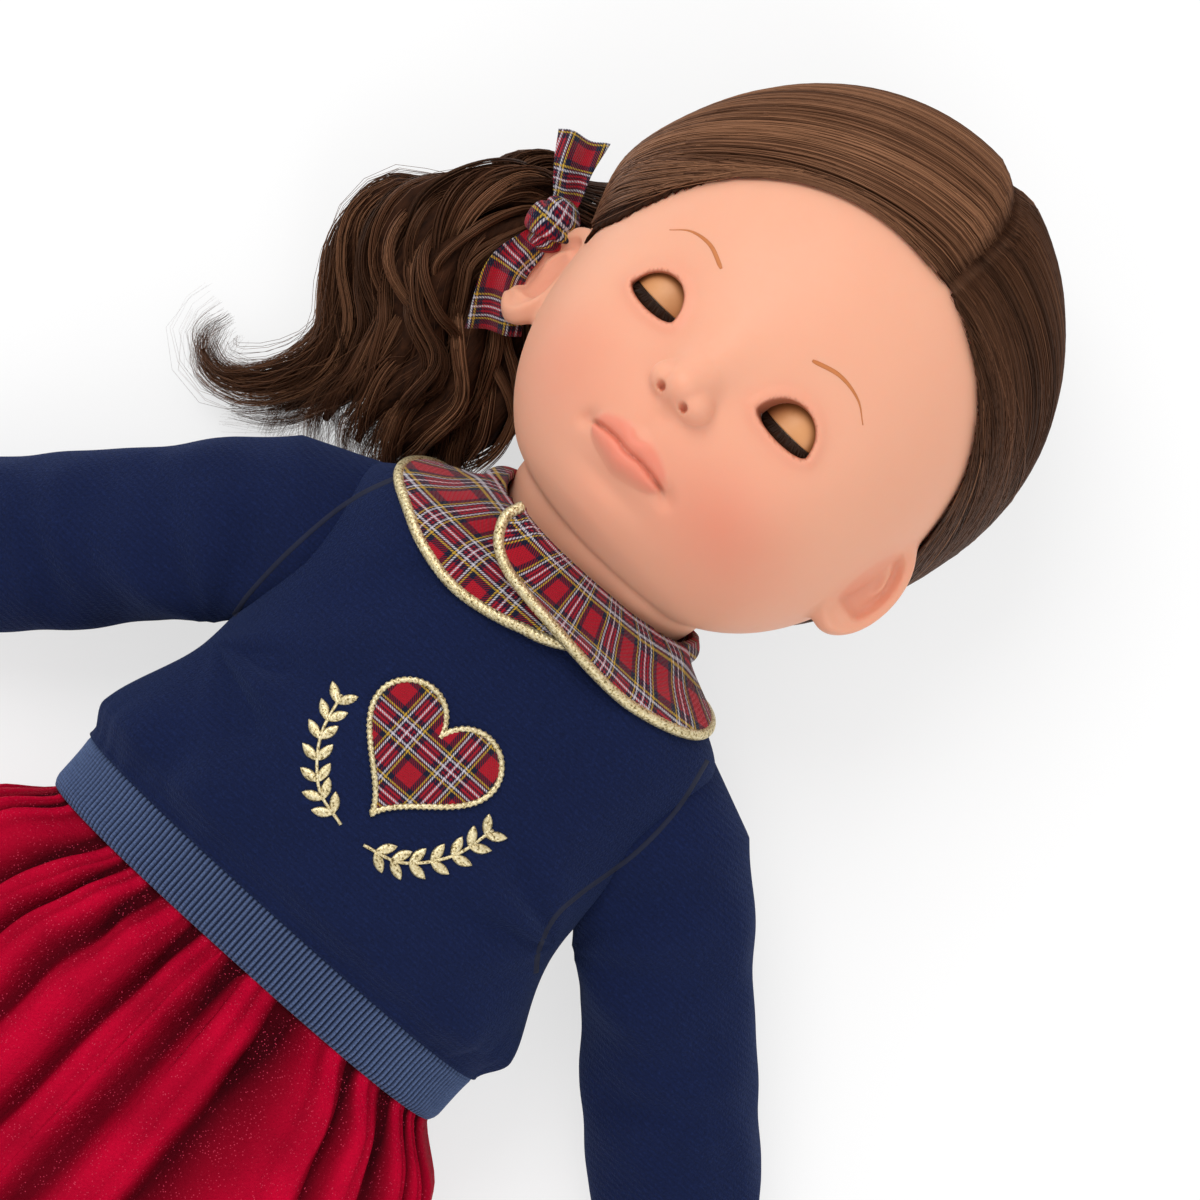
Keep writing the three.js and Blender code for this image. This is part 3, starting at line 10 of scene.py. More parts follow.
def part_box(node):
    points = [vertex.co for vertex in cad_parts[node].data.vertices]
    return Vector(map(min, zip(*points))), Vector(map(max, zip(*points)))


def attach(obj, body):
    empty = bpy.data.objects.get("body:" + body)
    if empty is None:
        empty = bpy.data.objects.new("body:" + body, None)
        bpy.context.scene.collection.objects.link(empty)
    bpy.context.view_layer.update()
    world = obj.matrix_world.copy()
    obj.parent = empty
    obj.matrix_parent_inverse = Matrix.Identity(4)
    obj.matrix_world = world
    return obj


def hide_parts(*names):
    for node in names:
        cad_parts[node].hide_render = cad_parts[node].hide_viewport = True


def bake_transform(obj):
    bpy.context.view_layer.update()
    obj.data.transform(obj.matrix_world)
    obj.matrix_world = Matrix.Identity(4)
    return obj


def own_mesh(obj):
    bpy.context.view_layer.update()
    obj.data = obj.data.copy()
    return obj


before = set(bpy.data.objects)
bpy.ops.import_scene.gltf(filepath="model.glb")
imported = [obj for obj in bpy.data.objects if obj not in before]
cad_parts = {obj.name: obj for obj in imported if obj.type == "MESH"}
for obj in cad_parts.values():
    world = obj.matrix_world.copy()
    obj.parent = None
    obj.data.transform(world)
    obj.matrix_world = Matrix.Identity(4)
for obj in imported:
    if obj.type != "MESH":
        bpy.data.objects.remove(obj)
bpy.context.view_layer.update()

# Shapes are in millimetres, as in the part's source, and make() turns them into metres.
MM = 0.001
SIDES = {"left": 1, "right": -1}
UP = np.array([0, 0, 1.0])
DOWN = -UP


# Small helpers for numbers

def smooth(t):
    t = np.clip(t, 0, 1)
    return t * t * (3 - 2 * t)


def profile(pairs):
    """A smooth curve through pairs of place and value, level beyond its ends."""
    xs = np.array([p[0] for p in pairs], float)
    vs = np.array([p[1] for p in pairs], float)
    slope = np.gradient(vs) / np.gradient(xs)

    def at(x):
        x = np.clip(x, xs[0], xs[-1])
        i = np.clip(np.searchsorted(xs, x, "right") - 1, 0, len(xs) - 2)
        h = xs[i + 1] - xs[i]
        t = (x - xs[i]) / h
        t2, t3 = t * t, t * t * t
        return (
            vs[i] * (2 * t3 - 3 * t2 + 1)
            + slope[i] * h * (t3 - 2 * t2 + t)
            + vs[i + 1] * (3 * t2 - 2 * t3)
            + slope[i + 1] * h * (t3 - t2)
        )

    return at


def curve(stops, count):
    """Points on a smooth curve through stops, evenly spaced in their number."""
    stops = np.asarray(stops, float)
    places = np.arange(len(stops), dtype=float)
    t = np.linspace(0, len(stops) - 1, count)
    return np.stack([profile(list(zip(places, stops[:, k])))(t) for k in range(3)], -1)


def unit(v):
    return v / np.maximum(np.linalg.norm(v, axis=-1, keepdims=True), 1e-9)


def bell(u):
    """1 where u is 0, and less and less on both sides."""
    return np.exp(-u ** 2)


def cubic(t, a, b, c, d):
    """A curve from a to d that is drawn toward b and c on its way."""
    return (1 - t) ** 3 * a + 3 * t * (1 - t) ** 2 * b + 3 * t * t * (1 - t) * c + t ** 3 * d


def circle(count):
    """Angles evenly round a circle."""
    return np.linspace(0, 2 * np.pi, count, endpoint=False)


def lengths_along(path):
    """How far along a path each of its points lies."""
    steps = np.linalg.norm(np.diff(path, axis=0), axis=1)
    return np.concatenate([[0], np.cumsum(steps)])


def at_lengths(path, run, wanted):
    """Points of a path, or directions along it, at given lengths."""
    return np.stack([np.interp(wanted, run, path[:, k]) for k in range(3)], -1)


def twice(values):
    """Values for the outside of a shell and again for its inside."""
    return np.concatenate([values, values])


def on_floor(p, least):
    """Points kept above the floor."""
    p[..., 2] = np.maximum(p[..., 2], least)
    return p


def box_of(node):
    """The middle and the half sizes of a node's box, in mm."""
    low, high = (np.array(corner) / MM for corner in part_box(node))
    return (low + high) / 2, (high - low) / 2


def waves(p, size, seed):
    """Soft noise of about -1 to 1: waves of about one size in seeded directions."""
    count = 14
    source = np.random.default_rng(seed)
    ways = unit(source.normal(size=(count, p.shape[-1])))
    lengths = size * source.uniform(0.7, 1.5, count)
    starts = source.uniform(0, 2 * np.pi, count)
    total = sum(np.sin(p @ w * (2 * np.pi / g) + s) for w, g, s in zip(ways, lengths, starts))
    return total / math.sqrt(count)


def turn(axis, degrees):
    a = math.radians(degrees)
    c, s = math.cos(a), math.sin(a)
    return {
        "x": np.array([[1, 0, 0], [0, c, -s], [0, s, c]]),
        "y": np.array([[c, 0, s], [0, 1, 0], [-s, 0, c]]),
        "z": np.array([[c, -s, 0], [s, c, 0], [0, 0, 1]]),
    }[axis]


# Small helpers for meshes

def net(rows, cols, round_cols=True):
    """Four-sided faces of a grid of points, row by row."""
    r = np.arange(rows - 1)[:, None]
    c = np.arange(cols if round_cols else cols - 1)[None, :]
    r2, c2 = r + 1, (c + 1) % cols
    return np.stack([r * cols + c, r * cols + c2, r2 * cols + c2, r2 * cols + c], -1).reshape(-1, 4)


def outward(points, faces):
    """The faces, turned round if they enclose a negative volume."""
    groups = faces if isinstance(faces, list) else [faces]
    volume = 0
    for group in groups:
        p = points[group]
        for k in range(1, group.shape[1] - 1):
            volume += np.einsum("ij,ij->i", p[:, 0], np.cross(p[:, k], p[:, k + 1])).sum()
    return groups if volume > 0 else [group[:, ::-1] for group in groups]


def make(name, points, faces, material, body, slot, node=None, uv=None, uv_name="UVMap", **values):
    """A smooth mesh from points in mm, with the body it rides on and the node it replaces; the slot argument
    is not used.
    """
    points = np.asarray(points, float).reshape(-1, 3)
    groups = outward(points, faces)
    loops = np.concatenate([g.ravel() for g in groups]).astype(np.int32)
    counts = np.concatenate([np.full(len(g), g.shape[1]) for g in groups])
    starts = np.concatenate([[0], np.cumsum(counts)[:-1]]).astype(np.int32)
    mesh = bpy.data.meshes.new(name)
    mesh.vertices.add(len(points))
    mesh.vertices.foreach_set("co", (points * MM).astype(np.float32).ravel())
    mesh.loops.add(len(loops))
    mesh.loops.foreach_set("vertex_index", loops)
    mesh.polygons.add(len(counts))
    mesh.polygons.foreach_set("loop_start", starts)
    mesh.update(calc_edges=True)
    mesh.polygons.foreach_set("use_smooth", np.ones(len(counts), bool))
    if uv is not None:
        layer = mesh.uv_layers.new(name=uv_name)
        layer.data.foreach_set("uv", np.asarray(uv, np.float32).reshape(-1, 2)[loops].ravel())
    for key, value in values.items():
        layer = mesh.attributes.new(key, "FLOAT", "POINT")
        layer.data.foreach_set("value", np.asarray(value, np.float32).ravel())
    mesh.materials.append(material)
    piece = bpy.data.objects.new(name, mesh)
    bpy.context.scene.collection.objects.link(piece)
    if body:
        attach(piece, body)
    if node:
        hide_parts(node)
    return piece


def tube(rings):
    """Points and faces of rings joined into a closed tube with domed or flat ends."""
    rows, cols = rings.shape[:2]
    points = np.concatenate([rings.reshape(-1, 3), rings[0].mean(0)[None], rings[-1].mean(0)[None]])
    first, last = rows * cols, rows * cols + 1
    c = np.arange(cols)
    after = (c + 1) % cols
    start = np.stack([np.full(cols, first), after, c], -1)
    end = np.stack([np.full(cols, last), (rows - 1) * cols + c, (rows - 1) * cols + after], -1)
    return points, [net(rows, cols), np.concatenate([start, end])]


def shell(outer, inner, round_cols=True):
    """Points and faces of a closed sheet between two grids of points."""
    rows, cols = outer.shape[:2]
    size = rows * cols
    points = np.concatenate([outer.reshape(-1, 3), inner.reshape(-1, 3)])
    faces = net(rows, cols, round_cols)
    c = np.arange(cols if round_cols else cols - 1)
    after = (c + 1) % cols
    top = (rows - 1) * cols
    rims = [
        np.stack([c, c + size, after + size, after], -1),
        np.stack([top + c, top + after, top + after + size, top + c + size], -1),
    ]
    if not round_cols:
        r = np.arange(rows - 1) * cols
        far = r + cols - 1
        rims.append(np.stack([r, r + cols, r + cols + size, r + size], -1))
        rims.append(np.stack([far, far + size, far + cols + size, far + cols], -1))
    return points, [np.concatenate([faces, faces[:, ::-1] + size] + rims)]


def frames(path, up):
    """Directions along, across and over a path."""
    along = unit(np.gradient(path, axis=-2))
    across = unit(np.cross(along, up))
    return along, across, np.cross(across, along)


def round_ways(a, across, over, wide=1.0, high=1.0):
    """Ways out of a path at angles a, on ovals of given half widths and heights."""
    aside = (wide * np.cos(a))[..., None] * across[..., None, :]
    return aside + (high * np.sin(a))[..., None] * over[..., None, :]


def sweep(path, across_half, over_half, sides, up=UP):
    """Rings of an oval swept along a path."""
    _, across, over = frames(path, up)
    wide = np.broadcast_to(across_half, len(path))[:, None]
    high = np.broadcast_to(over_half, len(path))[:, None]
    return path[:, None] + round_ways(circle(sides), across, over, wide, high)


def iso(field, low, high, step):
    """Points and faces where a field of signed distances in mm is zero."""
    axes = [np.arange(a, b + step, step, dtype=np.float32) for a, b in zip(low, high)]
    grid = openvdb.FloatGrid(1.0)
    grid.copyFromArray(field(*np.meshgrid(*axes, indexing="ij")).astype(np.float32))
    points, quads = grid.convertToQuads(isovalue=0.0)
    return points * step + np.asarray(low), quads


def onto(field, points, step=0.15):
    """Points moved onto the zero of a field, which smooths the grid's steps away."""
    least_slope, most_move = 0.2, 0.3
    for _ in range(2):
        x, y, z = points.T
        here = field(x, y, z)
        slope = np.stack([
            field(x + step, y, z) - field(x - step, y, z),
            field(x, y + step, z) - field(x, y - step, z),
            field(x, y, z + step) - field(x, y, z - step),
        ], -1) / (2 * step)
        move = slope * (here / np.maximum((slope ** 2).sum(-1), least_slope))[:, None]
        points = points - np.clip(move, -most_move, most_move)
    return points


def smooth_iso(field, low, high, step):
    points, faces = iso(field, low, high, step)
    return onto(field, points), faces


def egg(x, y, z, centre, half):
    """About how far points are from an ellipsoid."""
    qx, qy, qz = ((v - c) / h for v, c, h in zip((x, y, z), centre, half))
    size = np.sqrt(qx * qx + qy * qy + qz * qz)
    slope = np.sqrt((qx / half[0]) ** 2 + (qy / half[1]) ** 2 + (qz / half[2]) ** 2)
    return size * (size - 1) / np.maximum(slope, 1e-6)


def chain(x, y, z, path, radii, blend=0.0):
    """How far points are from round cones along a path."""
    nearest = None
    for a, b, ra, rb in zip(path[:-1], path[1:], radii[:-1], radii[1:]):
        d = b - a
        px, py, pz = x - a[0], y - a[1], z - a[2]
        t = np.clip((px * d[0] + py * d[1] + pz * d[2]) / (d @ d), 0, 1)
        far = np.sqrt((px - t * d[0]) ** 2 + (py - t * d[1]) ** 2 + (pz - t * d[2]) ** 2)
        far = far - (ra + (rb - ra) * t)
        nearest = far if nearest is None else joined(nearest, far, blend)
    return nearest


def joined(a, b, k):
    """Two fields in one, with a fillet of about k mm."""
    if not k:
        return np.minimum(a, b)
    h = np.clip(0.5 + 0.5 * (b - a) / k, 0, 1)
    return b + (a - b) * h - k * h * (1 - h)


def carved(a, b, k):
    """The first field less the second, with the edge rounded by about k mm."""
    return -joined(-a, b, k)


# Materials

def srgb(code):
    v = np.array([int(code[i:i + 2], 16) / 255 for i in (0, 2, 4)])
    return (*np.where(v <= 0.04045, v / 12.92, ((v + 0.055) / 1.055) ** 2.4).tolist(), 1.0)


class Paint:
    """A material made of nodes round one surface shader."""

    def __init__(self, name, **sockets):
        self.material = bpy.data.materials.new(name)
        self.material.use_nodes = True
        self.tree = self.material.node_tree
        self.shader = self.tree.nodes["Principled BSDF"]
        for key, value in sockets.items():
            self.put(key.replace("_", " "), value)

    def put(self, socket, value, node=None):
        target = (node or self.shader).inputs[socket]
        if isinstance(value, bpy.types.NodeSocket):
            self.tree.links.new(value, target)
        elif isinstance(value, str):
            target.default_value = srgb(value)
        else:
            target.default_value = value

    def node(self, kind, inputs=None, **settings):
        made = self.tree.nodes.new("ShaderNode" + kind)
        for key, value in settings.items():
            setattr(made, key, value)
        for key, value in (inputs or {}).items():
            self.put(key, value, made)
        return made

    def place(self):
        return self.node("TexCoord").outputs["Object"]

    def uv(self, name):
        return self.node("UVMap", uv_map=name).outputs["UV"]

    def value(self, name):
        return self.node("Attribute", attribute_name=name).outputs["Fac"]

    def math(self, operation, a, b=0.0, c=0.0):
        return self.node("Math", {0: a, 1: b, 2: c}, operation=operation).outputs[0]

    def split(self, vector):
        return self.node("SeparateXYZ", {0: vector}).outputs

    def noise(self, size, detail=3.0, place=None, stretch=None):
        """Noise whose blotches are about a size in metres."""
        place = place or self.place()
        if stretch:
            place = self.node("Mapping", {"Vector": place, "Scale": stretch}).outputs[0]
        return self.node("TexNoise", {"Vector": place, "Scale": 1 / size, "Detail": detail}).outputs["Fac"]

    def ramp(self, amount, *stops):
        """A colour that runs through stops of place and colour."""
        made = self.node("ValToRGB", {"Fac": amount})
        ramp = made.color_ramp
        ramp.interpolation = "LINEAR"
        while len(ramp.elements) < len(stops):
            ramp.elements.new(0.5)
        for element, (spot, code) in zip(ramp.elements, stops):
            element.position = spot
            element.color = srgb(code)
        return made.outputs["Color"]

    def mix(self, amount, a, b, kind="MIX"):
        made = self.node("Mix", data_type="RGBA", blend_type=kind)
        self.put(0, amount, made)
        self.put(6, a, made)
        self.put(7, b, made)
        return made.outputs[2]

    def between(self, amount, low, high):
        """A number that goes from low to high as an amount goes from 0 to 1."""
        return self.node("MapRange", {"Value": amount, "To Min": low, "To Max": high}).outputs[0]

    def rough(self, amount, low, high):
        """Roughness from low to high by an amount."""
        self.put("Roughness", self.between(amount, low, high))

    def window(self, amount, low, high, soft):
        """1 where an amount lies between low and high, soft at both ends."""
        rise, fall = (
            self.node("MapRange", {"Value": amount, "From Min": at - soft, "From Max": at + soft}).outputs[0]
            for at in (low, high)
        )
        return self.math("SUBTRACT", rise, fall)

    def wave(self, amount, length):
        """A sine of an amount that repeats over a length."""
        return self.math("SINE", self.math("MULTIPLY", amount, 2 * math.pi / length))

    def bump(self, height, depth, strength=1.0):
        made = self.node("Bump", {"Height": height, "Distance": depth, "Strength": strength})
        self.put("Normal", made.outputs["Normal"])


def skin_paint():
    p = Paint("vinyl_skin", Subsurface_Weight=0.35, Subsurface_Scale=0.0035, Specular_IOR_Level=0.3)
    p.put("Subsurface Radius", (1.0, 0.42, 0.28))
    mottle = p.noise(0.012, 3)
    colour = p.mix(p.between(mottle, 0.0, 0.5), "e9ab8d", "e5a184")
    # Blush paint, with painted shade deep in the ears' hollows.
    colour = p.mix(p.value("blush_and_shade"), colour, "e0745c")
    colour = p.mix(p.value("lips"), colour, "dd6f5c")
    # Painted shade, darker in the mouth's groove, the nostrils and round the eye openings.
    colour = p.mix(p.value("dark"), colour, "8f4426")
    p.put("Base Color", colour)
    p.rough(p.noise(0.002, 4), 0.44, 0.56)
    p.bump(p.noise(0.0006, 2), 0.00005, 0.3)
    return p.material


def lid_paint():
    p = Paint("eyelid_plastic", Specular_IOR_Level=0.4)
    # Painted shade: the lid darkens toward the rim of the eye opening and along its rolled edge.
    p.put("Base Color", p.mix(p.value("edge"), p.mix(p.noise(0.004), "dd9f6b", "cd8c56"), "7a4317"))
    p.rough(p.noise(0.001), 0.4, 0.52)
    return p.material


def eye_white_paint():
    p = Paint("eye_white", Coat_Weight=0.6, Coat_Roughness=0.05, Roughness=0.2)
    p.put("Base Color", p.mix(p.noise(0.004, 5), "f3efe8", "e7ded4"))
    return p.material


def iris_paint():
    p = Paint("iris", Coat_Weight=1.0, Coat_Roughness=0.03, Roughness=0.25)
    out = p.value("out")
    spokes = p.noise(0.0011, 4)
    shade = p.math("ADD", out, p.math("MULTIPLY", p.math("SUBTRACT", spokes, 0.5), 0.25))
    rings = [(0.0, "060403"), (0.36, "0a0604"), (0.42, "6d3f1b"), (0.75, "4b2a12"), (0.95, "1a0d06")]
    p.put("Base Color", p.ramp(shade, *rings))
    return p.material


def lash_paint():
    p = Paint("lash_fibre", Specular_IOR_Level=0.35)
    p.put("Base Color", p.mix(p.noise(0.0008, 3, stretch=(1, 0.2, 0.2)), "2b170c", "43260f"))
    p.rough(p.noise(0.0012), 0.45, 0.65)
    return p.material


def hair_paint():
    p = Paint("hair", Specular_IOR_Level=0.65, Specular_Tint="d09f80")
    tone, along = p.split(p.uv("OFBake"))[:2]
    colour = p.ramp(tone, (0.0, "1e0f09"), (0.3, "372014"), (0.65, "593826"), (1.0, "976a4d"))
    streak = p.noise(0.05, 2, p.uv("OFBake"))
    colour = p.mix(p.between(streak, 0.0, 0.3), colour, "2a1910")
    p.put("Base Color", colour)
    p.rough(along, 0.33, 0.4)
    return p.material


def cap_paint():
    p = Paint("hair_under", Specular_IOR_Level=0.08, Roughness=0.8)
    # Painted shade: the cap and the cores under the strands are darker than the strands, as the shade under
    # them.
    p.put("Base Color", p.ramp(p.noise(0.0012, 5, stretch=(1, 0.25, 1)), (0.25, "1a0d07"), (0.75, "3f2415")))
    p.bump(p.noise(0.0008, 4, stretch=(1, 0.2, 1)), 0.0004)
    return p.material


# The tartan's sett in parts of its repeat, and its lengths in millimetres of UV
TARTAN_REPEAT, TWILL, YARN = 11.5, 0.56, 0.4
TARTAN_RED = "b30a24"
TARTAN_BANDS = [("0a1130", (0.27, 0.50), (0.71, 0.94)), ("140c2c", (0.53, 0.57), (0.64, 0.68))]
TARTAN_THREADS = [
    ("dcb033", (0.368, 0.400), (0.810, 0.842)),
    ("e2dde6", (0.427, 0.461), (0.749, 0.783), (0.588, 0.622)),
]


def tartan_paint():
    """Red cloth with navy bands, and white and yellow threads that go over and under."""
    p = Paint("tartan", Specular_IOR_Level=0.12, Sheen_Weight=0.15, Sheen_Roughness=0.5)
    runs = p.split(p.uv("UVMap"))[:2]
    slant = p.math("ADD", *runs)
    over = p.math("GREATER_THAN", p.math("FRACT", p.math("DIVIDE", slant, TWILL)), 0.5)
    under = p.math("SUBTRACT", 1.0, over)
    places = [p.math("FRACT", p.math("DIVIDE", run, TARTAN_REPEAT)) for run in runs]
    grounds = []
    for place in places:
        ground = srgb(TARTAN_RED)
        for code, *stripes in TARTAN_BANDS:
            for low, high in stripes:
                ground = p.mix(p.window(place, low, high, 0.008), ground, code)
        grounds.append(ground)
    cloth = p.mix(0.5, p.mix(over, *grounds), p.mix(1.0, *grounds, kind="DARKEN"))
    for place, shown in zip(places, (over, under)):
        for code, *stripes in TARTAN_THREADS:
            for low, high in stripes:
                seen = p.math("MULTIPLY", p.window(place, low, high, 0.006), p.between(shown, 0.25, 0.95))
                cloth = p.mix(seen, cloth, code)
    p.put("Base Color", p.mix(p.between(p.noise(0.0007, 4), 0.0, 0.3), cloth, "1c060e"))
    p.rough(p.noise(0.0009), 0.75, 0.95)
    p.bump(p.math("ADD", p.wave(slant, TWILL), p.math("MULTIPLY", p.wave(runs[0], YARN), 0.5)), 0.00008)
    return p.material


def gold_paint():
    p = Paint("gold_piping", Metallic=0.75)
    fleck = p.noise(0.0005, 4)
    p.put("Base Color", p.ramp(fleck, (0.34, "6b5a36"), (0.44, "cbb98a"), (0.7, "efe4c0")))
    p.rough(p.noise(0.0004, 4), 0.3, 0.55)
    p.bump(fleck, 0.00018)
    return p.material


def fleece_paint():
    p = Paint("navy_fleece", Specular_IOR_Level=0.1, Sheen_Weight=0.22, Sheen_Roughness=0.5)
    p.put("Sheen Tint", "6f86c0")
    pile = p.noise(0.00045, 6)
    heather = p.noise(0.0007, 5, stretch=(1, 1.6, 1))
    colour = p.mix(p.between(p.noise(0.014, 3), 0.1, 0.6), "101836", "162148")
    colour = p.mix(p.ramp(heather, (0.5, "000000"), (0.8, "8a8a8a")), colour, "273970")
    colour = p.mix(p.ramp(pile, (0.30, "c0c0c0"), (0.48, "000000")), colour, "0c1126")
    rows = p.wave(p.split(p.place())[1], 0.0012)
    colour = p.mix(p.between(rows, 0.0, 0.22), colour, "0b1128")
    p.put("Base Color", colour)
    p.rough(pile, 0.88, 1.0)
    height = p.math("ADD", pile, p.math("MULTIPLY", heather, 0.5))
    p.bump(p.math("ADD", height, p.math("MULTIPLY", rows, 0.12)), 0.0004)
    return p.material


def rib_paint():
    p = Paint("navy_rib", Specular_IOR_Level=0.1, Sheen_Weight=0.4, Sheen_Roughness=0.5)
    p.put("Sheen Tint", "98a8c8")
    valley = p.value("valley")
    fuzz = p.noise(0.0006, 5)
    colour = p.mix(fuzz, "3f4f74", "5f7197")
    # Painted shade in the valleys between the ribs.
    p.put("Base Color", p.mix(valley, colour, "161d36"))
    p.rough(fuzz, 0.85, 1.0)
    knit = p.wave(p.split(p.uv("UVMap"))[1], 0.75)
    p.bump(p.math("ADD", fuzz, p.math("MULTIPLY", knit, 0.35)), 0.0003)
    return p.material


def body_cloth_paint():
    p = Paint("cloth_body", Specular_IOR_Level=0.2, Sheen_Weight=0.2)
    weave = p.node("TexChecker", {"Vector": p.place(), "Scale": 1800.0}).outputs["Fac"]
    p.put("Base Color", p.mix(p.noise(0.006, 4), "ead2bd", "dcbea6"))
    p.rough(p.noise(0.001), 0.8, 0.95)
    p.bump(p.math("ADD", weave, p.noise(0.003)), 0.00015)
    return p.material


def tulle_paint():
    p = Paint("red_tulle", Specular_IOR_Level=0.04, Sheen_Weight=0.3, Sheen_Roughness=0.35)
    p.put("Sheen Tint", "d00830")
    specks = p.node("TexVoronoi", {"Vector": p.place(), "Scale": 1600.0}).outputs["Distance"]
    patches = p.ramp(p.noise(0.004, 3), (0.36, "000000"), (0.58, "ffffff"))
    glints = p.math("MULTIPLY", p.ramp(specks, (0.10, "ffffff"), (0.24, "000000")), patches)
    fibres = p.noise(0.0005, 6)
    # Painted shade: bright red on the folds' crests, near black deep in their valleys.
    colour = p.ramp(p.value("valley"), (0.0, "c80230"), (0.3, "92001f"), (0.75, "170004"))
    shade = p.ramp(p.noise(0.016, 4), (0.38, "000000"), (0.68, "a0a0a0"))
    colour = p.mix(shade, colour, "5a0010")
    colour = p.mix(glints, colour, "d8405e")
    p.put("Base Color", p.mix(p.between(fibres, 0.0, 0.4), colour, "5c000e"))
    p.rough(fibres, 0.5, 0.85)
    p.bump(p.math("ADD", fibres, p.noise(0.0018, 3)), 0.0004)
    return p.material


def satin_paint():
    p = Paint("red_satin", Specular_IOR_Level=0.5, Anisotropic=0.5, Sheen_Weight=0.2)
    p.put("Base Color", p.mix(p.noise(0.02, 3), "9c141b", "7c0d14"))
    p.rough(p.noise(0.0008, 3, stretch=(1, 0.2, 1)), 0.3, 0.45)
    p.bump(p.noise(0.0006, 3, stretch=(1, 0.2, 1)), 0.0001)
    return p.material


def plain_paint(name, low, high, rough, metal=0.0, grain=0.0015, depth=0.00005):
    p = Paint(name, Metallic=metal)
    p.put("Base Color", p.mix(p.noise(grain * 4, 4), low, high))
    p.rough(p.noise(grain, 4), *rough)
    p.bump(p.noise(grain, 3), depth)
    return p.material


SKIN = skin_paint()
LID = lid_paint()
EYE_WHITE = eye_white_paint()
IRIS = iris_paint()
LASH = lash_paint()
HAIR = hair_paint()
CAP = cap_paint()
TARTAN = tartan_paint()
GOLD = gold_paint()
FLEECE = fleece_paint()
RIB = rib_paint()
BODY_CLOTH = body_cloth_paint()
TULLE = tulle_paint()
SATIN = satin_paint()
CASE = plain_paint("eye_case_plastic", "e6e2da", "cfcac0", (0.35, 0.5))
STEEL = plain_paint("axle_steel", "b9bcc0", "9a9da2", (0.25, 0.4), 1.0)
WEIGHT = plain_paint("weight_metal", "7d8087", "5f6269", (0.4, 0.6), 1.0)
ELASTIC = plain_paint("elastic", "1c120c", "30200f", (0.6, 0.8), 0.0, 0.0008, 0.0002)
TIE = plain_paint("tie_plastic", "e9e4d8", "d5cfc2", (0.4, 0.55))
SHOE = plain_paint("shoe", "20283f", "2c3552", (0.3, 0.42), 0.0, 0.0012, 0.0001)
BROW = plain_paint("brow_paint", "c9793f", "b5652e", (0.45, 0.6), 0.0, 0.0008, 0.00002)
# Stitching, dark as painted shade of the seam's crease.
SEAM = plain_paint("seam_thread_and_shade", "0a0f22", "121a38", (0.85, 0.95), 0.0, 0.0006, 0.0001)
SOLE = plain_paint("shoe_sole", "d8cdb8", "c3b69e", (0.6, 0.8), 0.0, 0.001, 0.0002)


# Head: the skull's frame, leaning to the doll's left and turned to its right

NECK = np.array([0, 0, 36.0])
SKULL_MIDDLE = np.array([5.0, 111.0, 14.0])
SKULL_HALF = np.array([45, 54.5, 46.0])
LEAN = turn("z", -4)
TURN = turn("y", -11.5)


def in_world(p):
    """From the skull's frame to the doll's."""
    return (p @ LEAN.T + SKULL_MIDDLE) @ TURN.T + NECK


def in_skull(p):
    """From the doll's frame to the skull's."""
    return ((p - NECK) @ TURN - SKULL_MIDDLE) @ LEAN


def skull_front(x, y):
    """How far forward the bare skull reaches, in its own frame."""
    power = np.where(y < 0, 2.5, 2.0)
    girth = np.maximum(1 - np.abs(y / SKULL_HALF[1]) ** power, 0) ** (1 / power)
    return SKULL_HALF[2] * np.sqrt(np.maximum(girth ** 2 - (x / SKULL_HALF[0]) ** 2, 0))


def on_face(x, y):
    """A point on the front of the bare skull."""
    return np.array([x, y, float(skull_front(np.array(x, float), np.array(y, float)))])


EYE_X, EYE_Y = 18.0, -8.6
MOUTH_Y = -34.0
FACE_FRONT = 15
NOSE_Y = -18.0
# Bulges and dents of the face: where, how wide and how high
FEATURES = [
    (on_face(24, -24), 15, 2.0),
    (on_face(-24, -24), 15, 2.0),
    (on_face(0, -31), 13, 3.0),
    (on_face(0, -46.5), 11, 1.5),
    (on_face(EYE_X, EYE_Y), 9, -1.6),
    (on_face(-EYE_X, EYE_Y), 9, -1.6),
    (on_face(0, -7), 8, 1.2),
]


def face_z(x, y):
    """How far forward the face reaches with its bulges and dents."""
    p = on_face(x, y)
    return p[2] + sum(h * math.exp(-((p - c) ** 2).sum() / w ** 2) for c, w, h in FEATURES)


LID_RADIUS, SOCKET_RADIUS = 9.0, 9.45
EYE_Z = face_z(EYE_X, EYE_Y) - 1.9 - LID_RADIUS
NOSE_Z = on_face(0, NOSE_Y)[2]


def bezier(a, b, c, d, count):
    t = np.linspace(0, 1, count, endpoint=False)[:, None]
    return cubic(t, *(np.asarray(v, float) for v in (a, b, c, d)))


EYE_OUTLINE = np.concatenate([
    bezier((-6.2, -2.52), (-4.96, -4.75), (4.96, -4.75), (6.2, -2.52), 20),
    bezier((6.2, -2.52), (5.27, 6.09), (-5.27, 6.09), (-6.2, -2.52), 28),
])


def outline_distance(x, y, outline):
    """Signed distance in the plane to a closed outline, negative inside."""
    best = np.full(x.shape, 1e9, x.dtype)
    inside = np.zeros(x.shape, bool)
    for a, b in zip(outline, np.roll(outline, -1, 0)):
        d = b - a
        t = np.clip(((x - a[0]) * d[0] + (y - a[1]) * d[1]) / (d @ d), 0, 1)
        best = np.minimum(best, (x - a[0] - t * d[0]) ** 2 + (y - a[1] - t * d[1]) ** 2)
        if abs(d[1]) > 1e-9:
            crosses = (a[1] > y) != (b[1] > y)
            inside ^= crosses & (x < a[0] + (y - a[1]) * d[0] / d[1])
    return np.sqrt(best) * np.where(inside, -1, 1)


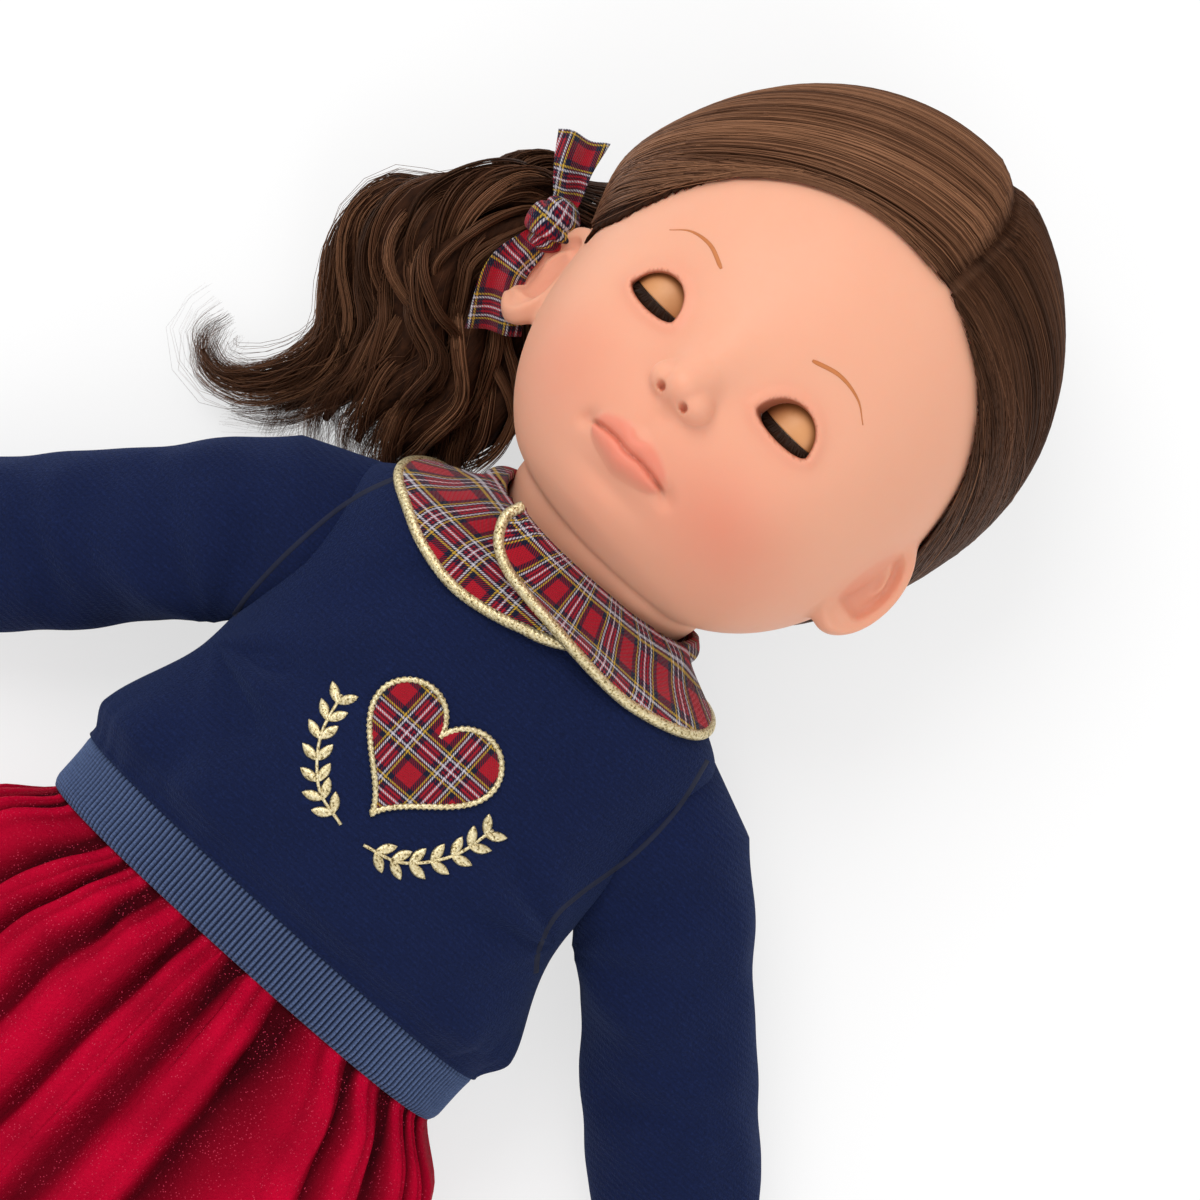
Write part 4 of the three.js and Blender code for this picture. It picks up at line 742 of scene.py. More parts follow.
def skull_field(x, y, z):
    """The bare skull: an oval, squarer toward the chin."""
    rho2 = (x / SKULL_HALF[0]) ** 2 + (z / SKULL_HALF[2]) ** 2
    q = np.abs(y) / SKULL_HALF[1]
    girth = np.where(y >= 0, np.sqrt(rho2 + q * q), (rho2 ** 1.25 + q ** 2.5) ** 0.4)
    return np.sqrt(x * x + y * y + z * z) * (1 - 1 / np.maximum(girth, 0.05))


def mouth_line(x):
    return MOUTH_Y - 1.1 * (x / 10) ** 2 - 0.55 * bell(x / 2.4)


def upper_lip(x):
    return 4.3 * np.sqrt(np.maximum(1 - (x / 10.4) ** 2, 0)) * (1 - 0.16 * bell(x / 1.7))


def lower_lip(x):
    return 5.2 * np.sqrt(np.maximum(1 - (x / 9.4) ** 2, 0))


def lips_out(x, y):
    """How far the lips, their groove and the dips round them stand out of the face."""
    line = mouth_line(x)
    width = np.sqrt(np.maximum(1 - (x / 10.6) ** 2, 0))
    up = np.clip((y - line) / np.maximum(upper_lip(x), 0.3), 0, 1)
    down = np.clip((line - y) / np.maximum(lower_lip(x), 0.3), 0, 1)
    out = 1.5 * np.sin(np.pi * up ** 0.75) * width * (0.75 + 0.35 * bell(x / 3.2))
    out = out + 1.7 * np.sin(np.pi * down ** 0.8) * width
    deep = 0.55 + 0.6 * smooth((np.abs(x) - 3) / 6)
    out = out - deep * bell((y - line) / 0.6) * smooth((11 - np.abs(x)) / 2)
    out = out - 1.3 * np.exp(-((np.abs(x) - 10.9) ** 2 + (y - line) ** 2) / 3.6)
    out = out - 0.6 * bell(x / 1.9) * smooth((y + 30.5) / 2) * smooth((-23 - y) / 3)
    return out - 1.0 * np.exp(-((y + 41.5) / 2.4) ** 2 - (x / 8) ** 2)


EAR_TURN = turn("y", -46)
EAR_HALF = (3.9, 12.9, 8.6)


def ear_frame(x, y, z):
    """Places in the nearer ear's own frame: out of the ear, up it and toward the face."""
    on_right = x < 0
    x = np.abs(x) - np.where(on_right, 45.6, 42.4)
    y = y + np.where(on_right, 20, 18.2)
    z = z - 1
    out = EAR_TURN[0, 0] * x + EAR_TURN[2, 0] * z
    fore = EAR_TURN[0, 2] * x + EAR_TURN[2, 2] * z
    return out, y - 0.12 * fore, fore


def ear_hollow(tall, fore):
    """How deep the ear's hollow is, and how far out toward its rim each place lies."""
    round_out = np.sqrt((tall / EAR_HALF[1]) ** 2 + ((fore + 0.2) / EAR_HALF[2]) ** 2)
    well = 3.3 * smooth((0.74 - round_out) / 0.16) * smooth((tall + 7.5) / 3)
    deep = 2.6 * np.exp(-((tall + 2.5) / 3.6) ** 2 - ((fore - 1.8) / 2.8) ** 2)
    fold = 1.7 * bell((round_out - 0.42) / 0.1) * smooth((tall + 2) / 4) * smooth((2.5 - fore) / 3)
    return well + deep - fold, round_out


def ear_field(x, y, z):
    """An ear with a rolled rim round its hollow, on each side of the skull."""
    out, tall, fore = ear_frame(x, y, z)
    body = egg(out, tall, fore, (0, 0, 0), EAR_HALF)
    hollow, round_out = ear_hollow(tall, fore)
    front = smooth((out + 0.6) / 1.4)
    ridge = 0.9 * bell((round_out - 0.88) / 0.12)
    return body + front * (hollow - ridge)


def with_nose(field, x, y, z):
    """The face with the nose's bridge, tip and wings on it, and the nostrils carved out."""
    side = np.abs(x)
    tip = egg(x, y, z, (0, NOSE_Y, NOSE_Z + 0.6), (4.8, 5.0, 8.2))
    bridge = chain(x, y, z, np.array([[0, -5, NOSE_Z - 3.4], [0, -14, NOSE_Z + 1.6]]), (4.2, 4.0))
    wing = egg(side, y, z, (3.9, NOSE_Y - 1.4, NOSE_Z + 1.4), (3.5, 3.5, 5.2))
    nostril = egg(side, y, z, (3.0, NOSE_Y - 3.4, NOSE_Z + 5.6), (1.05, 0.95, 3.0))
    field = joined(field, bridge, 5)
    field = joined(field, tip, 3)
    field = joined(field, wing, 1.2)
    return carved(field, nostril, 0.5)


def neck_frame(x, y, z):
    """Places measured from the neck, before the head is turned: aside, up and forward."""
    aside = LEAN[0, 0] * x + LEAN[0, 1] * y + SKULL_MIDDLE[0]
    up = LEAN[1, 0] * x + LEAN[1, 1] * y + SKULL_MIDDLE[1]
    return aside, up, z + SKULL_MIDDLE[2]


def with_neck(field, x, y, z):
    """The head with its grooved neck, a trimmed chin and the filled corner under the jaw."""
    aside, up, fore = neck_frame(x, y, z)
    radius = np.where(up > 45, 15.3, np.where(up > 41, 11.9, 15.9))
    neck = np.maximum(np.sqrt(aside ** 2 + fore ** 2) - radius, np.maximum(37 - up, up - 88))
    field = joined(field, neck, 2.5)
    field = field + 1.5 * smooth((-48 - y) / 6) * smooth((z + 5) / 10)
    under_jaw = egg(aside, up, np.where(fore < 0, 1.3, 1) * fore, (0.5, 63, 0.5), (24.6, 20, 21.2))
    return joined(field, np.maximum(under_jaw, 49.5 - up), 0.8)


def with_eyes(field, x, y, z):
    """The head with raised rims round the eye openings, and the sockets behind them."""
    open_x, open_y = np.abs(x) - EYE_X, y - EYE_Y
    rim = outline_distance(open_x, open_y, EYE_OUTLINE)
    field = field - np.where(z > 10, 0.55 * bell((rim - 0.9) / 1.1), 0)
    field = carved(field, np.maximum(rim, 20 - z), 0.35)
    socket = np.sqrt(open_x ** 2 + open_y ** 2 + (z - EYE_Z) ** 2) - SOCKET_RADIUS
    return np.maximum(field, -socket)


def head_field(x, y, z):
    field = skull_field(x, y, z)
    for centre, width, height in FEATURES:
        near = (x - centre[0]) ** 2 + (y - centre[1]) ** 2 + (z - centre[2]) ** 2
        field = field - height * np.exp(-near / width ** 2)
    field = with_nose(field, x, y, z)
    field = field - np.where(z > FACE_FRONT, lips_out(x, y), 0)
    field = joined(field, ear_field(x, y, z), 2.2)
    field = with_neck(field, x, y, z)
    return with_eyes(field, x, y, z)


def under_hair(x, y, z):
    """Negative in the part of the head that the hair covers."""
    down, round_ = hair_angles(x, y, z)
    return np.maximum((hairline(round_) + 6 - down) * 0.8, -44 - y)


def face_field(x, y, z):
    return np.maximum(head_field(x, y, z), -under_hair(x, y, z))


def back_field(x, y, z):
    return np.maximum(head_field(x, y, z), under_hair(x, y, z))


# Blushed places: how much, where on the face and how wide
BLUSHES = [(0.44, 22, -32, 12), (0.3, -23, -31, 12), (0.08, 0, -47, 9), (0.03, 0, -20, 7), (0.15, 0, -34, 15)]


def face_paint_values(p):
    """Where the vinyl is blushed, where it is lip, and where shade is painted on it: dark in the mouth's
    groove, the nostrils and round the eye openings, and more blush deep in the ears' hollows.
    """
    x, y, z = p.T
    side, front = np.abs(x), z > FACE_FRONT
    blush_and_shade = 0
    for amount, at_x, at_y, wide in BLUSHES:
        blush_and_shade = blush_and_shade + amount * np.exp(-((x - at_x) ** 2 + (y - at_y) ** 2) / wide ** 2)
    lids = np.abs(outline_distance(side - EYE_X, y - EYE_Y, EYE_OUTLINE))
    blush_and_shade = blush_and_shade + 0.22 * bell(lids / 3.2)
    out, tall, fore = ear_frame(x, y, z)
    hollow, round_out = ear_hollow(tall, fore)
    ear = smooth((1.15 - round_out) / 0.3) * smooth((out + 2) / 2) * (side > 38)
    # The ears are blushed, and blushed more deeply in their hollows as painted shade.
    blush_and_shade = smooth((z - 2) / 18) * blush_and_shade + ear * (0.06 + 0.06 * np.clip(hollow, 0, 5))
    line = mouth_line(x)
    up, down = (y - line) / np.maximum(upper_lip(x), 0.2), (line - y) / np.maximum(lower_lip(x), 0.2)
    lips = np.where(y > line, smooth((1.15 - up) / 0.5), smooth((1.15 - down) / 0.7))
    lips = np.where(front, 0.55 * lips * smooth((10.9 - side) / 3), 0)
    # Painted shade: the mouth's groove, darker toward its corners, the nostril holes and the rims of the eye
    # openings are darkened.
    groove = bell((y - line) / 0.42) * smooth((10.8 - side) / 1.5)
    groove = groove * (0.45 + 0.55 * smooth((side - 4) / 5))
    hole = np.exp(-np.maximum(np.hypot(side - 3.0, y - NOSE_Y + 3.3) - 0.75, 0) ** 2 / 0.12)
    edge = bell(np.maximum(lids - 0.1, 0) / 0.22)
    dark = np.where(front, np.maximum.reduce([0.55 * groove, 0.12 * hole, 0.8 * edge]), 0)
    return {"blush_and_shade": blush_and_shade, "lips": lips, "dark": dark}


def skin_values(count, blush_and_shade=None):
    """The skin's paint where there is no lip and no painted shade."""
    none = np.zeros(count)
    return {"blush_and_shade": none if blush_and_shade is None else blush_and_shade, "lips": none, "dark": none}


def make_head():
    """The face and neck, with a fine grid, and the part under the hair, with a coarse one."""
    points, faces = smooth_iso(face_field, (-56, -76, -40), (56, 55, 58), 0.58)
    values = face_paint_values(points)
    face = make("head_face", in_world(points), faces, SKIN, "head", "vinyl_skin", "head_shell", **values)
    points, faces = smooth_iso(back_field, (-56, -48, -52), (56, 60, 50), 1.3)
    make("head_back", in_world(points), faces, SKIN, "head", "vinyl_skin", **skin_values(len(points)))
    return face


def tree_of(*pieces):
    """A search tree over the faces of pieces, in metres."""
    points, faces = [], []
    for piece in pieces:
        faces += [tuple(v + len(points) for v in f.vertices) for f in piece.data.polygons]
        points += [v.co for v in piece.data.vertices]
    return BVHTree.FromPolygons(points, faces)


def drop_on(tree, points, way):
    """Where lines from points along a direction meet a surface, and its normals there; points in mm."""
    hits, normals = [], []
    for p in points.reshape(-1, 3):
        hit, normal, _, _ = tree.ray_cast(Vector(p * MM), Vector(way))
        hits.append(np.array(hit) / MM if hit else p)
        normals.append(np.array(normal) if hit else -np.asarray(way))
    return np.array(hits).reshape(points.shape), np.array(normals).reshape(points.shape)


def ribbon_on(tree, path, half_width, lift, way):
    """A thin closed strip laid on a surface along a path, in mm."""
    along = unit(np.gradient(path, axis=0))
    across = unit(np.cross(along, np.asarray(way, float)))
    cols = np.linspace(-1, 1, 5)
    places = path[:, None] + across[:, None] * (half_width[:, None, None] * cols[None, :, None])
    hits, normals = drop_on(tree, places, way)
    crown = (1 - cols ** 2)[None, :, None]
    return shell(hits + normals * (lift * (0.25 + 0.75 * crown)), hits - 0.15 * normals, False)


BROW_STOPS = [(27, 1.2), (23.2, 3.8), (18.0, 4.4), (12.6, 2.6)]
BEFORE_FACE = 60.0


def make_brows(face):
    """Thin painted brows, laid on the face from the front."""
    tree = tree_of(face)
    t = np.linspace(0, 1, 40)
    half = 0.1 + 0.32 * smooth(t / 0.8) * (0.5 + 0.5 * smooth((1 - t) / 0.06))
    for side, sign in SIDES.items():
        path = in_world(curve([(sign * x, y, BEFORE_FACE) for x, y in BROW_STOPS], len(t)))
        points, faces = ribbon_on(tree, path, half, 0.06, TURN @ DOWN)
        make(f"brow_{side}", points, faces, BROW, "head", "vinyl_skin")


# Eyes, shut

BALL_RADIUS, IRIS_RADIUS = 8.05, 4.8
LID_EDGE, LASH_EDGE = -11.0, -12.5
IRIS_TURN = turn("x", 58)


def on_ball(radius, along, round_):
    """Points of a ball by angles along the eye's axle and round it, from straight ahead upward."""
    reach = radius * np.cos(along)
    return np.stack([radius * np.sin(along) + 0 * round_, reach * np.sin(round_), reach * np.cos(round_)], -1)


def lid_shape():
    """The lid with its rolled edge, and the painted shade that darkens it near the rim of the eye opening and
    a little along its rolled edge.
    """
    degrees = np.linspace(LID_EDGE, 128, 60)[:, None]
    rows, cols = np.radians(degrees), np.radians(np.linspace(-74, 74, 70))[None, :]
    roll = 0.16 * bell((degrees - LID_EDGE) / 2.2)
    outer, inner = on_ball(LID_RADIUS + roll - 0.1, cols, rows), on_ball(LID_RADIUS - 0.5, cols, rows)
    far = outline_distance(outer[..., 0], outer[..., 1], EYE_OUTLINE)
    shade = 0.75 * bell(np.maximum(-far, 0) / 1.1) + 0.2 * bell((degrees - LID_EDGE) / 3.0)
    return *shell(outer, inner, False), np.clip(twice(shade.ravel()), 0, 1)


def iris_shape():
    """A domed disc let into the ball, looking up behind the lid, and how far out each point lies."""
    out, a = np.linspace(0.02, 1, 24)[:, None], circle(64)[None, :]
    dome = np.sqrt(8.25 ** 2 - (IRIS_RADIUS * out) ** 2) + 0.35 * (1 - out ** 2) ** 2
    aside, up = IRIS_RADIUS * np.cos(a), IRIS_RADIUS * np.sin(a)
    rings = np.stack([out * aside, out * up, dome + 0 * a], -1)
    back = np.stack([aside, up, 0 * a + 6.2], -1)
    points, faces = tube(np.concatenate([rings, back]))
    share = np.concatenate([np.repeat(out.ravel(), 64), np.ones(64), [0.0, 1.0]])
    return points @ IRIS_TURN.T, faces, share


def lash_comb_shape():
    rows = np.radians(np.linspace(LASH_EDGE, -29, 12))[:, None]
    cols = np.radians(np.linspace(-48, 48, 60))[None, :]
    comb = 0.05 * np.sin(cols * 160)
    return shell(on_ball(8.86 + comb + 0 * rows, cols, rows), on_ball(8.4, cols, rows), False)


def lash_hairs():
    """Paths of the lash's hairs, which bend away from the lid."""
    source = np.random.default_rng(31)
    count = 64
    start = np.radians(np.linspace(-46, 46, count) + source.normal(0, 0.8, count))
    reach = np.linspace(0, 1, 8)
    spread = start[:, None] * (1 + 0.16 * reach) + np.radians(source.normal(0, 2, count))[:, None] * reach
    fall = np.radians(LASH_EDGE - (11 + source.uniform(-2, 3, count))[:, None] * reach)
    rise = 8.95 + (0.75 + 0.3 * np.abs(np.sin(start)))[:, None] * reach ** 1.6
    return on_ball(rise, spread, fall)


def make_eye(side, sign):
    """A shut sleep eye, whose pieces turn together on its axle."""
    body = f"eye_{side}"
    middle = np.array([sign * EYE_X, EYE_Y, EYE_Z])

    def add(name, points, faces, material, slot, node, **values):
        placed = in_world(points + middle)
        make(f"{name}_{side}", placed, faces, material, body, slot, f"{node}_{side}", **values)

    points, faces, shade = lid_shape()
    add("lid", points, faces, LID, "eyelid_plastic", "eyelid", edge=shade)
    along = np.radians(np.linspace(-88, 88, 40))[:, None]
    add("ball", *tube(on_ball(BALL_RADIUS, along, circle(64)[None, :])), EYE_WHITE, "eye_white", "eyeball")
    points, faces, share = iris_shape()
    add("iris", points, faces, IRIS, "iris", "eye_iris", out=share)
    add("lashes", *lash_comb_shape(), LASH, "lash_fibre", "eye_lashes")
    hairs = lash_hairs()
    up = unit(hairs @ LEAN.T @ TURN.T)
    tone = np.zeros(len(hairs))
    make_strands(f"lash_hairs_{side}", in_world(hairs + middle), 0.085, tone, up, LASH, body, "lash_fibre")


def make_strands(name, paths, radius, tone, up=UP, material=HAIR, body="head", slot="hair"):
    """Many thin tapered strands as one mesh of three-sided tubes: paths are strands by points."""
    count, steps = paths.shape[:2]
    _, across, over = frames(paths, np.broadcast_to(up, paths.shape))
    t = np.linspace(0, 1, steps)
    taper = (smooth(t / 0.06) * 0.6 + 0.4) * (0.18 + 0.82 * smooth((1 - t) / 0.3))
    r = np.broadcast_to(np.asarray(radius, float).reshape(-1, 1), (count, 1)) * taper[None, :]
    rings = paths[:, :, None] + r[:, :, None, None] * round_ways(np.radians([90, 210, 330]), across, over)
    starts = (np.arange(count) * steps * 3)[:, None, None]
    faces = (net(steps, 3)[None] + starts).reshape(-1, 4)
    tips = np.array([[0, 2, 1], [0, 1, 2]]) + np.array([[0], [(steps - 1) * 3]])
    ends = (tips[None] + starts).reshape(-1, 3)
    uv = np.stack(np.broadcast_arrays(tone[:, None, None], t[None, :, None]), -1)
    uv = np.broadcast_to(uv, (count, steps, 3, 2))
    make(name, rings, [faces, ends], material, body, slot, uv=uv, uv_name="OFBake")


# Hair: a cap under strands that run from the parting to the ponytail, or down behind the ear

HAIR_AXIS = unit(np.array([14.1, -29.7, 35.8]))
HAIR_UP = unit(np.array([0, 1.0, 0]) - HAIR_AXIS[1] * HAIR_AXIS)
HAIR_SIDE = np.cross(HAIR_AXIS, HAIR_UP)
hairline = profile([
    (-180, 90), (-150, 80), (-115, 71.5), (-60, 70), (-25, 71), (0, 73.5), (25, 76.5), (50, 78.5), (85, 79),
    (103, 90), (118, 99), (140, 100), (165, 95), (180, 90),
])
PARTING = -7.0
HAIR_THIN, HAIR_FULL = 0.9, 6.2
ROOT_DOWN, ROOT_ROUND = 112.0, 122.0


def hair_way(down, round_):
    """A direction on the skull: degrees from an axis through the face, and round it to the doll's right."""
    d, r = np.radians(down)[..., None], np.radians(round_)[..., None]
    return np.cos(d) * HAIR_AXIS + np.sin(d) * (np.cos(r) * HAIR_UP + np.sin(r) * HAIR_SIDE)


def hair_angles(x, y, z):
    """The angles of hair_way for points in the skull's frame."""
    p = np.stack([x / SKULL_HALF[0], y / SKULL_HALF[1], z / SKULL_HALF[2]], -1)
    size = np.linalg.norm(p, axis=-1)
    down = np.degrees(np.arccos(np.clip(p @ HAIR_AXIS / np.maximum(size, 1e-6), -1, 1)))
    return down, np.degrees(np.arctan2(p @ HAIR_SIDE, p @ HAIR_UP))


def hair_depth(down, round_):
    """How thick the hair lies: thin at the hairline, fuller behind it, lower along the parting."""
    part = 1.3 * bell((round_ - PARTING) * np.sin(np.radians(down)) / 2.6)
    crown = 2.4 * bell(round_ / 75) * smooth((down - 85) / 25) * smooth((170 - down) / 30)
    return HAIR_THIN + (HAIR_FULL - part - crown) * smooth((down - hairline(round_)) / 24)


def on_hair(down, round_, lift):
    """Points over the skull by direction, lifted off it."""
    way = hair_way(down, round_)
    p = way * SKULL_HALF
    q = np.abs(way[..., 1])
    rho2 = way[..., 0] ** 2 + way[..., 2] ** 2
    girth = np.where(way[..., 1] >= 0, 1.0, (rho2 ** 1.25 + q ** 2.5) ** 0.4)
    p = p / girth[..., None]
    normal = unit(p / SKULL_HALF ** 2)
    return p + normal * (hair_depth(down, round_) + lift)[..., None], normal


def cap_field(x, y, z):
    """The layer of hair under the strands, clear of the neck and the ears."""
    down, round_ = hair_angles(x, y, z)
    base = skull_field(x, y, z)
    edge = (hairline(round_) - down) * 0.8
    aside, _, fore = neck_frame(x, y, z)
    field = np.maximum(base - hair_depth(down, round_), np.maximum(0.15 - base, edge))
    field = np.maximum(field, 17.5 - np.sqrt(aside ** 2 + fore ** 2))
    return np.maximum(field, 0.5 - ear_field(x, y, z))


def comb(name, source, count, finish, ease, spread, light):
    """Strands in clumps from the parting, or from along the hairline, that gather where they finish. Their
    tone centres on light: high for a painted highlight along the lit side, low for painted shade on the
    other; strands that lie higher are painted lighter.
    """
    t = np.linspace(0, 1, 36)[None, :]
    clumps = 90
    clump = source.integers(0, clumps, count)
    share = source.uniform(0, 1, clumps)[clump] + source.normal(0, 0.012, count)
    share = np.clip(share, 0, 1)[:, None]
    height = source.uniform(0, 1, clumps)[clump][:, None]
    start_round = PARTING + source.normal(0, 0.4, count)[:, None]
    late = source.uniform(0, 1, count)[:, None] < 0.22
    way_round = PARTING + (finish[1] - PARTING) * source.uniform(0, 0.85, count)[:, None]
    round0 = np.where(late, way_round, start_round)
    line = hairline(round0)
    at_line = line + source.uniform(-1.3, 2.5, count)[:, None]
    down0 = np.where(late, at_line, line + 0.6 + 88 * share ** 1.25)
    end_down = finish[0] + spread[0] * (share - 0.4) + source.normal(0, 0.8, count)[:, None]
    end_round = finish[1] + spread[1] * source.normal(0, 1, count)[:, None]
    down = down0 + (end_down - down0) * t ** ease
    round_ = round0 + (end_round - round0) * t
    sway = source.normal(0, 0.35, clumps)[clump][:, None]
    down = down + sway * np.sin(np.pi * t * source.uniform(0.8, 1.4, clumps)[clump][:, None])
    down = np.maximum(down, hairline(round_) - 1.3 + 2.0 * height)
    layer = 0.6 * height + 0.4 * source.uniform(0, 1, count)[:, None]
    lift = (0.05 + 0.9 * layer * smooth(t / 0.06)) * smooth((down - hairline(round_) + 3) / 6)
    p, normal = on_hair(down, round_, lift)
    clear = ear_field(*np.moveaxis(p, -1, 0)).min(1) > 0.3
    clear &= np.linalg.norm(np.diff(p, axis=1), axis=-1).max(1) < 5
    p, normal, layer = p[clear], normal[clear], layer[clear]
    streak = source.normal(light, 0.12, clumps)[clump[clear]]
    # Higher strands get a lighter tone, a painted highlight on the hair's outer layer.
    tone = np.clip(streak + 0.3 * layer[:, 0] + source.normal(0, 0.12, len(p)), 0, 1)
    radius = source.uniform(0.07, 0.13, len(p))
    make_strands(name, on_floor(in_world(p), 0.3), radius, tone, normal @ LEAN.T @ TURN.T)


def make_hair():
    """The cap under the hair, and strands in layers over it."""
    points, faces = smooth_iso(cap_field, (-54, -62, -56), (54, 64, 46), 0.95)
    make("hair_under", on_floor(in_world(points), 0.1), faces, CAP, "head", "hair", "hair_cap")
    source = np.random.default_rng(11)
    for layer in range(4):
        # Painted light: the right side's strands are toned light as a painted highlight, the left side's dark
        # as painted shade.
        comb(f"hair_right_{layer}", source, 850, (ROOT_DOWN, ROOT_ROUND), 2.4, (14, 3.0), 0.56)
        comb(f"hair_left_{layer}", source, 850, (112, -150), 1.7, (50, 8.0), 0.20)
    for layer in range(2):
        comb_back(f"hair_back_{layer}", source, 1500, 22)


def comb_back(name, source, count, steps):
    """Strands over the back of the head, each along a great circle to where the ponytail starts."""
    way = unit(source.normal(size=(40 * count, 3)))
    down, round_ = hair_angles(*(way * SKULL_HALF).T)
    behind = (round_ > 116) | (round_ < -146) | (down > 150)
    way = way[(down > hairline(round_) + 0.6) & behind][:count]
    root = hair_way(np.array(ROOT_DOWN), np.array(ROOT_ROUND)) + source.normal(0, 0.05, way.shape)
    t = np.linspace(0, 1, steps)[None, :, None]
    way = unit(way[:, None] * (1 - t) + unit(root)[:, None] * t)
    down, round_ = hair_angles(*np.moveaxis(way * SKULL_HALF, -1, 0))
    layer = source.uniform(0, 1, (len(way), 1))
    lift = (0.9 * layer + 0.1) * smooth(t[..., 0] / 0.12) - 0.2
    p, normal = on_hair(down, round_, lift)
    clear = ear_field(*np.moveaxis(p, -1, 0)).min(1) > 0.3
    p, normal, layer = p[clear], normal[clear], layer[clear]
    # Higher strands get a lighter tone, a painted highlight on the hair's outer layer.
    tone = np.clip(0.26 + 0.3 * layer[:, 0] + source.normal(0, 0.14, len(p)), 0, 1)
    radius = source.uniform(0.09, 0.16, len(p))
    make_strands(name, on_floor(in_world(p), 0.3), radius, tone, normal @ LEAN.T @ TURN.T)


# Ponytail: locks of strands that hang from the tie

LOCK_UP = np.array([0.0, 0.3, 1.0])
LOCK_STEPS = 56
# Each lock: its thickness, and where it passes, measured from the tie
LOCKS = [
    (6.2, (0, 0, 0), (-8, 5, 0), (-14, 2, 0), (-15, -7, -1), (-20, -15, -1), (-27, -21, -3), (-28, -30, -4),
     (-24, -40, -7), (-18, -50, -10), (-17, -59, -13), (-22, -68, -15), (-30, -74, -16)),
    (5.4, (0, 1, 1), (-8, 7, 1), (-15, 5, 1), (-17, -4, 1), (-21, -12, 1), (-29, -18, 0), (-33, -27, -2),
     (-30, -37, -5), (-23, -47, -8), (-22, -58, -12), (-29, -68, -15), (-39, -70, -16), (-42, -62, -15)),
    (4.4, (-1, 2, 2), (-10, 8, 3), (-16, 3, 3), (-18, -6, 3), (-25, -12, 3), (-33, -18, 1), (-34, -29, -1),
     (-28, -39, -5), (-23, -49, -8), (-26, -61, -12), (-35, -70, -15), (-44, -67, -16), (-43, -59, -15)),
    (6.8, (0, -3, 1), (-3, -12, 4), (-4, -23, 6), (1, -33, 6), (5, -42, 3), (3, -52, -1), (3, -61, -6),
     (7, -68, -11)),
    (6.2, (0, -2, 2), (-8, -9, 7), (-14, -20, 10), (-10, -31, 9), (-4, -39, 6), (-5, -49, 1), (-5, -59, -4),
     (0, -67, -10)),
    (6.8, (-1, 0, 3), (-12, -1, 7), (-20, -12, 9), (-20, -26, 7), (-12, -37, 3), (-11, -49, -2),
     (-13, -60, -8), (-9, -69, -13)),
    (5.2, (-1, 1, 3), (-10, 3, 7), (-20, -4, 9), (-28, -17, 6), (-25, -31, 3), (-16, -41, -2), (-15, -53, -7),
     (-20, -64, -12), (-19, -73, -15)),
    (7.6, (-1, 0, -2), (-12, -2, -5), (-20, -10, -8), (-17, -25, -10), (-9, -39, -10), (-4, -51, -11),
     (-3, -62, -13)),
    (7.6, (0, -2, -2), (-2, -13, -4), (0, -26, -5), (6, -37, -5), (8, -46, -6), (8, -56, -8), (12, -64, -11)),
    (5.6, (0, -2, 1), (2, -12, 2), (6, -24, 1), (12, -34, -1), (14, -43, -3), (14, -52, -6), (19, -58, -9)),
    (7.4, (0, -1, -3), (-3, -12, -6), (-6, -24, -8), (-3, -36, -8), (2, -48, -9), (5, -59, -12)),
    (4.2, (0, -1, 4), (-6, -4, 9), (-13, -14, 12), (-17, -25, 10), (-11, -34, 8), (-9, -44, 3),
     (-12, -53, -2), (-9, -62, -8)),
]
LOCK_TONES = (0.02, 0.16, -0.04, 0.22)


def make_ponytail():
    """Locks that hang from the tie, each a core under strands, painted darker than them as shade inside the
    lock.
    """
    tie, _ = box_of("hair_elastic")
    source = np.random.default_rng(23)
    t = np.linspace(0, 1, LOCK_STEPS)
    for number, (thick, *stops) in enumerate(LOCKS):
        spine = tie + curve(stops, LOCK_STEPS)
        size = thick * (0.5 + 0.5 * smooth(t / 0.2)) * (0.45 + 0.55 * smooth((1 - t) / 0.4))
        spine = on_floor(spine, 0.5 * size + 0.5)
        slim = 0.5 * size * (0.2 + 0.8 * smooth((1 - t) / 0.35))
        core, faces = tube(sweep(spine[:-6], slim[:-6], slim[:-6], 14, LOCK_UP))
        node = "ponytail" if number == 0 else None
        make(f"lock_core_{number}", core, faces, CAP, "head", "hair", node)
        if number == 0:
            make_root(tie, source)
        make_lock(number, thick, spine, size, t, source)
    make_flyaways(tie, source)


